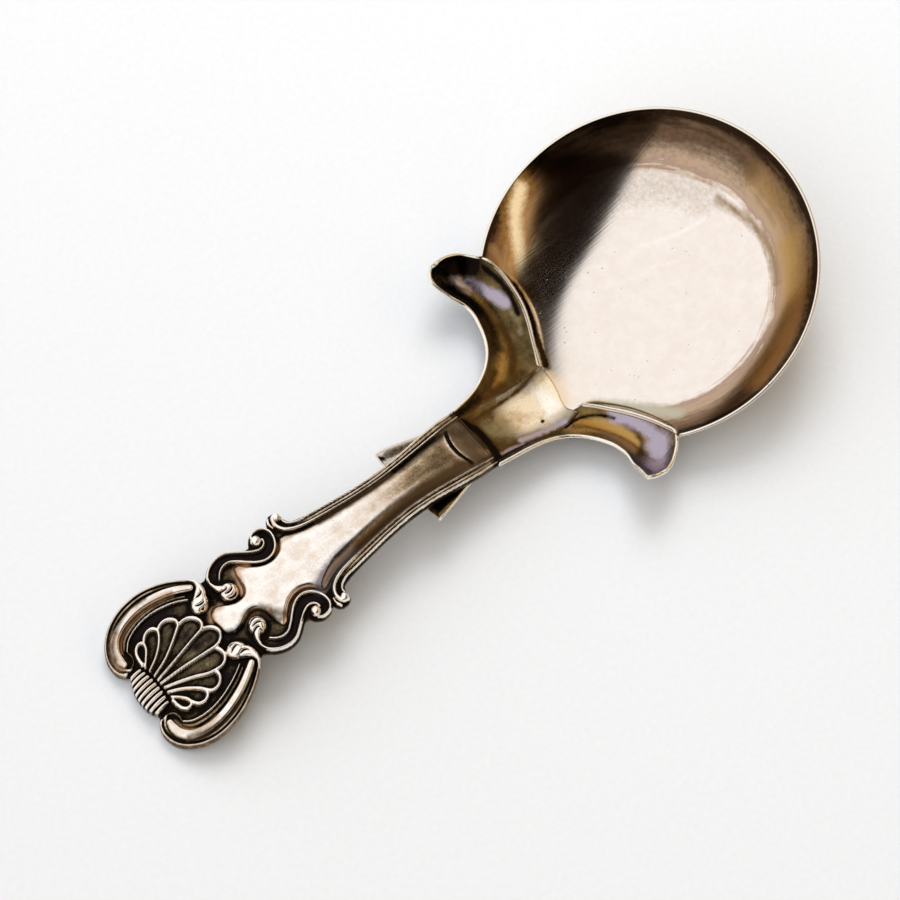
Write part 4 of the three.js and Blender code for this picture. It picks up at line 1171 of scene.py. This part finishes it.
NECK_STROKES = [
    ("umber", 1.9, 0.9, [(44.2, -3.2), (44.6, 0), (44.4, 3.0)]),
    # Painted shadow in the gap at the lap joint, where the neck starts
    ("shade", 0.45, 1.2, [(44.5, -3.0), (45.0, -1.0), (45.1, 0.6), (44.6, 2.6)]),
    ("umber", 0.3, 0.8, [(45.5, 1.9), (49.0, 1.6), (52.5, 1.5), (54.8, 1.9)]),
    ("umber", 0.6, 0.7, [(45.5, -2.8), (48.0, -3.3), (50.0, -3.9)]),
    ("straw", 1.5, 0.5, [(47.8, -0.4), (49.4, -0.9)]),
    ("olive", 1.4, 0.6, [(46.6, -0.2), (47.4, -0.8)]),
    ("rubbed_and_highlight", 2.4, 1.1, [(50.4, -0.9), (53.2, -1.5), (56.0, -1.3)]),
    ("straw", 1.1, 0.26, [(48.6, -0.4), (51.4, -2.4), (53.4, -3.6)]),
    ("violet", 0.34, 0.9, [(47.8, -3.15), (49.8, -3.75), (51.6, -4.25), (53.0, -4.55)]),
    ("violet", 0.3, 0.6, [(44.9, -3.0), (46.3, -3.3), (47.6, -3.7)]),
    ("shade", 0.17, 1.3, [(51.15, -2.95), (51.3, -2.95)]),
]
SHOULDER_STROKES = {
    1: [
        ("shade", 1.2, 1.1, [(55.2, 16.8), (57.4, 16.0), (58.6, 14.9)]),
        ("shade", 0.9, 0.9, [(54.8, 14.4), (55.3, 12.6), (55.4, 11.2)]),
        ("shade", 0.3, 1.0, [(59.2, 14.0), (59.6, 12.0), (59.4, 10.0), (58.6, 8.0)]),
        ("shade", 0.4, 0.6, [(44.0, 3.2), (46.0, 3.25), (48.0, 3.3)]),
        ("umber", 0.5, 0.8, [(48.0, 3.4), (50.0, 3.8), (51.6, 4.6)]),
        ("shade", 0.22, 0.8, [(45.0, 2.3), (47.5, 2.0), (50.0, 1.65), (52.5, 1.5), (54.2, 1.65)]),
        ("umber", 0.8, 0.7, [(55.6, 12.4), (55.8, 10.4), (55.2, 8.6)]),
        ("umber", 0.7, 0.7, [(44.4, 3.0), (48.0, 3.0), (51.0, 3.0)]),
        ("violet", 0.62, 1.1, [(55.9, 15.2), (56.9, 14.2), (57.6, 12.9), (58.2, 11.3), (58.5, 9.9)]),
        ("violet", 0.35, 0.5, [(54.9, 15.4), (55.6, 14.0), (56.2, 13.2)]),
        ("violet", 0.27, 0.9, [(47.3, 2.4), (49.0, 2.2), (50.7, 2.05)]),
        ("straw", 0.7, 0.6, [(50.6, 3.6), (52.4, 4.4), (53.6, 5.6)]),
        ("umber", 0.5, 0.8, [(53.0, 3.4), (54.6, 4.8), (55.8, 6.8), (56.3, 8.4)]),
        ("olive", 0.4, 0.4, [(57.2, 6.2), (58.0, 7.4), (58.3, 8.6)]),
    ],
    -1: [
        ("straw", 1.5, 1.0, [(53.3, -6.0), (55.3, -7.5), (56.3, -9.4), (56.3, -11.3)]),
        ("olive", 0.6, 0.55, [(54.6, -8.4), (55.3, -10.0)]),
        ("umber", 0.4, 0.7, [(57.3, -8.4), (57.6, -10.4), (56.9, -12.2), (55.4, -13.0)]),
        ("violet", 0.65, 1.0, [(57.2, -7.6), (58.1, -9.4), (58.4, -11.2), (58.2, -13.0), (57.6, -14.4)]),
        ("violet", 1.2, 1.0, [(58.0, -13.4), (56.8, -14.6), (55.6, -15.4)]),
        ("shade", 0.45, 0.9, [(54.5, -12.4), (54.2, -14.2), (54.1, -15.7)]),
        ("shade", 0.25, 0.8, [(52.6, -5.1), (54.6, -5.3), (56.2, -6.4), (57.1, -7.8)]),
        ("shade", 0.3, 0.7, [(44.2, -3.2), (46.0, -3.5), (48.0, -4.0)]),
    ],
}
TAIL_STROKES = [
    ("rubbed_and_highlight", 1.3, 0.55, [(35.2, 4.4), (37.6, 3.9), (40.0, 3.6)]),
    # Painted shade in the hollow of the left wing's curled tip
    ("shade", 0.22, 1.1, [(34.75, 4.5), (35.15, 4.15)]),
    # Painted shadow of the handle over the right wing
    ("shade", 0.8, 0.8, [(36.0, -3.4), (38.6, -3.4), (41.0, -3.2)]),
    ("straw", 0.4, 0.5, [(36.2, 4.0), (39.6, 3.5)]),
]


# Materials

def hex_colour(code):
    """Linear colour from an sRGB hex value."""
    parts = [int(code[i:i + 2], 16) / 255 for i in (0, 2, 4)]
    return tuple(p / 12.92 if p <= 0.04045 else ((p + 0.055) / 1.055) ** 2.4 for p in parts) + (1.0,)


def add(tree, kind, inputs=(), **settings):
    """Adds a node with its settings, and gives its first output.

    inputs are sockets to link or values to set, by name or in the order of the node's own inputs."""
    node = tree.nodes.new(kind)
    for key, value in settings.items():
        setattr(node, key, value)
    in_use = [socket for socket in node.inputs if socket.enabled]
    named = isinstance(inputs, dict)
    for key, value in inputs.items() if named else enumerate(inputs):
        socket = node.inputs[key] if named else in_use[key]
        if isinstance(value, bpy.types.NodeSocket):
            tree.links.new(value, socket)
        else:
            socket.default_value = value
    return next((socket for socket in node.outputs if socket.enabled), None)


def per_mm(size):
    """Scale of a pattern whose marks are this many millimetres apart."""
    return 1 / (size * MM)


def bare_material(name):
    """A material without nodes, its node tree, and the place on the object that its patterns read."""
    material = bpy.data.materials.new(name)
    material.use_nodes = True
    tree = material.node_tree
    tree.nodes.clear()
    where = tree.nodes.new("ShaderNodeTexCoord").outputs["Object"]
    return material, tree, where


def tinted(tree, colour, value, steps):
    """Lays colours over one another as a value rises. steps are start, end and colour."""
    for start, end, code in steps:
        share = add(tree, "ShaderNodeMapRange", (value, start, end))
        colour = add(tree, "ShaderNodeMix", (share, colour, hex_colour(code)), data_type="RGBA")
    return colour


def varied(tree, value, noise, amount):
    """A value with a noise laid over it, this much from its darkest to its lightest places."""
    change = add(tree, "ShaderNodeMapRange", (noise, 0.0, 1.0, -amount / 2, amount / 2))
    return add(tree, "ShaderNodeMath", (value, change), operation="ADD")


def tarnish_and_painted_light(tree, where, colour, stroke_colours, spot_size, raggedness):
    """Lays the strokes of tarnish, and of painted shade, reflection and highlight, over a colour, each with
    an edge broken up by spots of this size.
    """
    spots = add(tree, "ShaderNodeTexNoise",
                {"Vector": where, "Scale": per_mm(spot_size), "Detail": 5.0, "Roughness": 0.65})
    # A stroke shows only where it has some strength of its own, however much the spots add
    for tone, code in stroke_colours:
        stroke = add(tree, "ShaderNodeAttribute", attribute_name=tone)
        in_stroke = add(tree, "ShaderNodeMapRange", (stroke, 0.03, 0.2))
        share = add(tree, "ShaderNodeMapRange", (varied(tree, stroke, spots, raggedness), 0.12, 0.75))
        share = add(tree, "ShaderNodeMath", (share, in_stroke), operation="MULTIPLY")
        colour = add(tree, "ShaderNodeMix", (share, colour, hex_colour(code)), data_type="RGBA")
    return colour


def pitted(tree, where, spacing, share):
    """1 in small pits this many millimetres apart, and 0 between them. share is a pit's size over that."""
    cells = add(tree, "ShaderNodeTexVoronoi", {"Vector": where, "Scale": per_mm(spacing)})
    return add(tree, "ShaderNodeMapRange", (cells, share, share / 2))


def soiled(tree, colour, pits, strength, code):
    """A colour with dirt in its pits."""
    share = add(tree, "ShaderNodeMath", (pits, strength), operation="MULTIPLY")
    return add(tree, "ShaderNodeMix", (share, colour, hex_colour(code)), data_type="RGBA")


def hair_lines(tree, where, turn, width, length):
    """Fine lines of wiping: a noise drawn out along one direction. Sizes are in millimetres."""
    drawn = add(tree, "ShaderNodeMapping", {
        "Vector": where, "Rotation": (0, 0, math.radians(turn)),
        "Scale": (per_mm(length), per_mm(width), per_mm(5.0)),
    })
    return add(tree, "ShaderNodeTexNoise", {"Vector": drawn, "Scale": 1.0, "Detail": 2.0})


def silver(tree, colour, rough, height, depth):
    """Closes a metal with a fine relief this many millimetres deep."""
    normal = add(tree, "ShaderNodeBump", {"Height": height, "Distance": depth * MM, "Strength": 1.0})
    shader = add(tree, "ShaderNodeBsdfPrincipled",
                 {"Base Color": colour, "Roughness": rough, "Metallic": 1.0, "Normal": normal})
    add(tree, "ShaderNodeOutputMaterial", {"Surface": shader})


def struck_silver():
    """Die struck silver, blackened and rubbed.

    It gives pinkish white on the high places, olive where the hand reaches less, and black sulphide in
    the recesses."""
    material, tree, where = bare_material("silver_struck_blackened_and_rubbed")
    cloud = add(tree, "ShaderNodeTexNoise", {"Vector": where, "Scale": per_mm(1.2), "Detail": 4.0})
    # Real grain is about 0.05 mm. It is drawn at 0.2 mm so that it shows.
    grain = add(tree, "ShaderNodeTexNoise", {"Vector": where, "Scale": per_mm(0.2), "Detail": 2.0})
    lines = hair_lines(tree, where, 0, 0.15, 5.0)
    oxide = add(tree, "ShaderNodeAttribute", attribute_name="oxide")
    for noise, amount in ((cloud, 0.55), (grain, 0.45), (lines, 0.24)):
        oxide = varied(tree, oxide, noise, amount)
    colour = tinted(tree, hex_colour("FBF4EC"), cloud, [(0.45, 0.75, "F2E2D0")])
    colour = tinted(tree, colour, oxide, [
        (-0.5, -0.05, "DFCBB8"), (-0.05, 0.22, "A38E70"), (0.18, 0.45, "5F523C"), (0.42, 0.8, "15100B"),
    ])
    colour = tarnish_and_painted_light(tree, where, colour, [
        ("straw", "C29C7A"), ("umber", "6A5640"), ("violet", "8A7F80"), ("shade", "1E1719"),
    ], 0.9, 0.7)
    pits = pitted(tree, where, 1.1, 0.08)
    colour = soiled(tree, colour, pits, 0.5, "4A3A2E")
    rough = add(tree, "ShaderNodeMapRange", (oxide, -0.6, 0.6, 0.2, 0.46))
    pits_down = add(tree, "ShaderNodeMath", (pits, -1.0), operation="MULTIPLY")
    height = add(tree, "ShaderNodeMath", (grain, 0.5, pits_down), operation="MULTIPLY_ADD")
    silver(tree, colour, rough, height, 0.01)
    return material


def polished_sheet():
    """Silver sheet raised with hammers and polished.

    It gives a soft mirror, cream where it is wiped, and gold and brown near the rim, which is tarnish and
    also a painted dark reflection of the room, with a thin bright line where the rim is worn and a highlight
    is painted."""
    material, tree, where = bare_material("silver_sheet_raised_and_polished")
    cloud = add(tree, "ShaderNodeTexNoise",
                {"Vector": where, "Scale": per_mm(5.0), "Detail": 4.0, "Roughness": 0.6})
    fine = add(tree, "ShaderNodeTexNoise",
               {"Vector": where, "Scale": per_mm(1.8), "Detail": 5.0, "Roughness": 0.7})
    reach = add(tree, "ShaderNodeAttribute", attribute_name="reach")
    # Streaks half a millimetre wide and some millimetres long, which follow the rim and break the edge of the
    # band of tarnish and painted reflection
    outward_mm = add(tree, "ShaderNodeMath", (reach, RIM_RADIUS_X / 0.5), operation="MULTIPLY")
    outward_mm = add(tree, "ShaderNodeCombineXYZ", {"Z": outward_mm})
    drawn = add(tree, "ShaderNodeVectorMath", (where, (per_mm(6), per_mm(6), 0), outward_mm),
                operation="MULTIPLY_ADD")
    streaks = add(tree, "ShaderNodeTexNoise",
                  {"Vector": drawn, "Scale": 1.0, "Detail": 4.0, "Roughness": 0.6})
    for noise, amount in ((cloud, 0.08), (streaks, 0.14), (fine, 0.06)):
        reach = varied(tree, reach, noise, amount)
    colour = tinted(tree, hex_colour("F1E7DD"), fine, [(0.35, 0.75, "EBDCCF")])
    # Darker towards the rim: tarnish, and a painted dark reflection of the room in the walls
    colour = tinted(tree, colour, reach, [
        (0.735, 0.765, "CFB9A4"), (0.765, 0.775, "AE9280"), (0.785, 0.8, "B89C82"), (0.83, 0.9, "7C6049"),
        (0.93, 0.985, "2B1D12"),
    ])
    within = add(tree, "ShaderNodeAttribute", attribute_name="within")
    colour = add(tree, "ShaderNodeMix", (within, hex_colour("CFC2B2"), colour), data_type="RGBA")
    colour = tarnish_and_painted_light(tree, where, colour, [
        ("straw", "B08A52"), ("umber", "9A7F62"), ("olive", "B9B29C"), ("shade", "2B1D12"),
        ("rubbed_and_highlight", "F6EEE4"),
    ], 0.5, 0.6)
    # Lighter along the rim's edge: wear, and a painted highlight
    worn_and_highlight = add(tree, "ShaderNodeAttribute", attribute_name="worn_and_highlight")
    colour = tinted(tree, colour, worn_and_highlight, [(0.55, 0.95, "EFE4D4")])
    pits = pitted(tree, where, 1.3, 0.06)
    colour = soiled(tree, colour, pits, 0.8, "5A4636")
    # Real wiping lines are some hundredths of a millimetre wide, and drawn at 0.12 mm so that they show
    wiped = (hair_lines(tree, where, 28, 0.12, 6.0), hair_lines(tree, where, -50, 0.15, 5.0))
    lines = add(tree, "ShaderNodeMath", wiped, operation="MULTIPLY")
    dull = add(tree, "ShaderNodeMapRange", (cloud, 0.3, 0.7, 0.07, 0.11))
    rough = add(tree, "ShaderNodeMath", (lines, 0.1, dull), operation="MULTIPLY_ADD")
    height = add(tree, "ShaderNodeMath", (lines, pits), operation="SUBTRACT")
    silver(tree, colour, rough, height, 0.004)
    return material


def tarnished_sheet():
    """Silver sheet bent and left to tarnish.

    It gives gold brown and olive, violet where the film is thickest, and white lines along its edges, for
    rubbing and a painted highlight."""
    material, tree, where = bare_material("silver_sheet_bent_and_tarnished")
    cloud = add(tree, "ShaderNodeTexNoise",
                {"Vector": where, "Scale": per_mm(2.0), "Detail": 5.0, "Roughness": 0.6})
    # Real grain is about 0.05 mm. It is drawn at 0.4 mm so that it shows.
    fine = add(tree, "ShaderNodeTexNoise", {"Vector": where, "Scale": per_mm(0.4), "Detail": 3.0})
    colour = tinted(tree, hex_colour("80683E"), cloud, [(0.3, 0.5, "604C2E"), (0.5, 0.72, "3E301C")])
    colour = tinted(tree, colour, fine, [(0.5, 0.8, "5E583C")])
    # The rubbed place comes first, so that the strokes round it keep their edges
    colour = tarnish_and_painted_light(tree, where, colour, [("rubbed_and_highlight", "FFF5E4")], 0.7, 0.4)
    colour = tarnish_and_painted_light(tree, where, colour, [
        ("straw", "B08A50"), ("umber", "4C361E"), ("olive", "8C8468"), ("violet", "AC9FAC"),
        ("shade", "15100C"),
    ], 0.7, 1.0)
    # Lighter along the rounded edges: rubbing, and a painted highlight
    worn_and_highlight = varied(tree, add(tree, "ShaderNodeAttribute", attribute_name="worn_and_highlight"), cloud, 0.4)
    colour = tinted(tree, colour, worn_and_highlight, [(0.45, 0.75, "F4EBDD")])
    pits = pitted(tree, where, 1.0, 0.07)
    colour = soiled(tree, colour, pits, 0.5, "2A1E14")
    rough = add(tree, "ShaderNodeMapRange", (fine, 0.3, 0.7, 0.2, 0.32))
    height = add(tree, "ShaderNodeMath", (fine, pits), operation="SUBTRACT")
    silver(tree, colour, rough, height, 0.008)
    return material


# The pieces

STRUCK = struck_silver()
POLISHED = polished_sheet()
TARNISHED = tarnished_sheet()

relief = strike()
for piece_name in PIECES:
    relief_piece(relief, piece_name, STRUCK)

bowl_piece(POLISHED)
neck_piece(TARNISHED)
for side, side_name in SIDES:
    shoulder_piece(side, side_name, TARNISHED)
tail_piece(TARNISHED)


# Table, light and camera

# Half the card's side, and how far it lies under the spoon's lowest point, so that the two don't share a
# plane. Both are in metres.
TABLE_HALF = 0.8
TABLE_DROP = 0.00005


def table_top():
    """A wide sheet of matt white card."""
    corners = [(-1, -1), (1, -1), (1, 1), (-1, 1)]
    mesh = bpy.data.meshes.new("table_top")
    mesh.from_pydata([(x * TABLE_HALF, y * TABLE_HALF, 0) for x, y in corners], [], [(0, 1, 2, 3)])
    floor = bpy.data.objects.new("table_top", mesh)
    floor.location.z = -TABLE_DROP
    bpy.context.scene.collection.objects.link(floor)
    material, tree, where = bare_material("card_matt_white")
    grain = add(tree, "ShaderNodeTexNoise", {"Vector": where, "Scale": per_mm(0.6), "Detail": 2.0})
    colour = tinted(tree, hex_colour("ECEEF1"), grain, [(0.3, 0.7, "EFF1F4")])
    shader = add(tree, "ShaderNodeBsdfPrincipled", {"Base Color": colour, "Roughness": 0.8})
    add(tree, "ShaderNodeOutputMaterial", {"Surface": shader})
    mesh.materials.append(material)


# Pale light comes from one side of the room, and boards stand on the others. Each board is the direction
# that it lies in, where its edge starts and ends, and its colour.
ROOM_LIGHT = "FCFDFF"
ROOM_LIGHT_STRENGTH = 1.12
ROOM_LIGHT_TOWARDS = (-0.6, 0.575, 0.56)
ROOM_LIGHT_EDGE = (0.25, 0.29)
GOLD_BOARD = "F4DDB4"
BOARDS = [
    ((-0.585, 0.03, 0.81), 0.34, 0.38, "180F0B"),
    ((1, 0, 0), 0.12, 0.04, "180F0B"),
    ((0, 0, 1), 0.44, 0.36, "6E6862"),
]
# The first board's edge bends: between these two places sideways it moves by this much
BOARD_BEND = (-0.45, -0.2, 0.0, 0.09)
# The lamp's place and size in metres, and its power in watts
LAMP_PLACE = (0.2, 0.22, 0.36)
LAMP_SIZE = 0.24
LAMP_POWER = 0.88


def studio():
    """Soft pale light from one side and above, with dark boards and a small gold one round the spoon."""
    world = bpy.data.worlds.new("studio")
    bpy.context.scene.world = world
    world.use_nodes = True
    tree = world.node_tree
    tree.nodes.clear()
    towards = tree.nodes.new("ShaderNodeTexCoord").outputs["Generated"]
    sideways = add(tree, "ShaderNodeVectorMath", (towards, (0, 1, 0)), operation="DOT_PRODUCT")
    bend = add(tree, "ShaderNodeMapRange", (sideways, *BOARD_BEND))
    colour = hex_colour(GOLD_BOARD)
    for number, (direction, start, end, code) in enumerate(BOARDS):
        facing = add(tree, "ShaderNodeVectorMath", (towards, direction), operation="DOT_PRODUCT")
        if number == 0:
            facing = add(tree, "ShaderNodeMath", (facing, bend), operation="ADD")
        colour = tinted(tree, colour, facing, [(start, end, code)])
    lit = add(tree, "ShaderNodeVectorMath", (towards, ROOM_LIGHT_TOWARDS), operation="DOT_PRODUCT")
    colour = tinted(tree, colour, lit, [(*ROOM_LIGHT_EDGE, ROOM_LIGHT)])
    light = add(tree, "ShaderNodeBackground", {"Color": colour, "Strength": ROOM_LIGHT_STRENGTH})
    add(tree, "ShaderNodeOutputWorld", {"Surface": light})
    soft_box = bpy.data.lights.new("soft_box", "AREA")
    soft_box.shape = "SQUARE"
    soft_box.size = LAMP_SIZE
    soft_box.energy = LAMP_POWER
    lamp = bpy.data.objects.new("soft_box", soft_box)
    lamp.location = LAMP_PLACE
    lamp.rotation_euler = lamp.location.to_track_quat("Z", "Y").to_euler()
    lamp.visible_glossy = False
    bpy.context.scene.collection.objects.link(lamp)


# The camera looks down from the right of the handle's tip, as fitted to the photo. Sizes are in millimetres.
CAMERA_AZIMUTH = math.radians(-39.16)
CAMERA_ELEVATION = math.radians(66.0)
CAMERA_DISTANCE = 478.07
CAMERA_AIM = np.array([42.48, 2.26, 0.0])
CAMERA_LENS = 180
CAMERA_SENSOR = 36


def camera():
    """A long lens, turned from the aim by the camera's azimuth and elevation."""
    data = bpy.data.cameras.new("camera")
    data.lens = CAMERA_LENS
    data.sensor_width = CAMERA_SENSOR
    data.clip_start = 0.01
    eye = bpy.data.objects.new("camera", data)
    level = math.cos(CAMERA_ELEVATION)
    back = Vector((math.sin(CAMERA_AZIMUTH) * level, -math.cos(CAMERA_AZIMUTH) * level,
                   math.sin(CAMERA_ELEVATION)))
    eye.location = Vector((CAMERA_AIM + HANDLE_ORIGIN) * MM) + back * CAMERA_DISTANCE * MM
    eye.rotation_euler = back.to_track_quat("Z", "Y").to_euler()
    bpy.context.scene.collection.objects.link(eye)
    bpy.context.scene.camera = eye


table_top()
studio()
camera()
bpy.context.scene.view_settings.view_transform = "Standard"
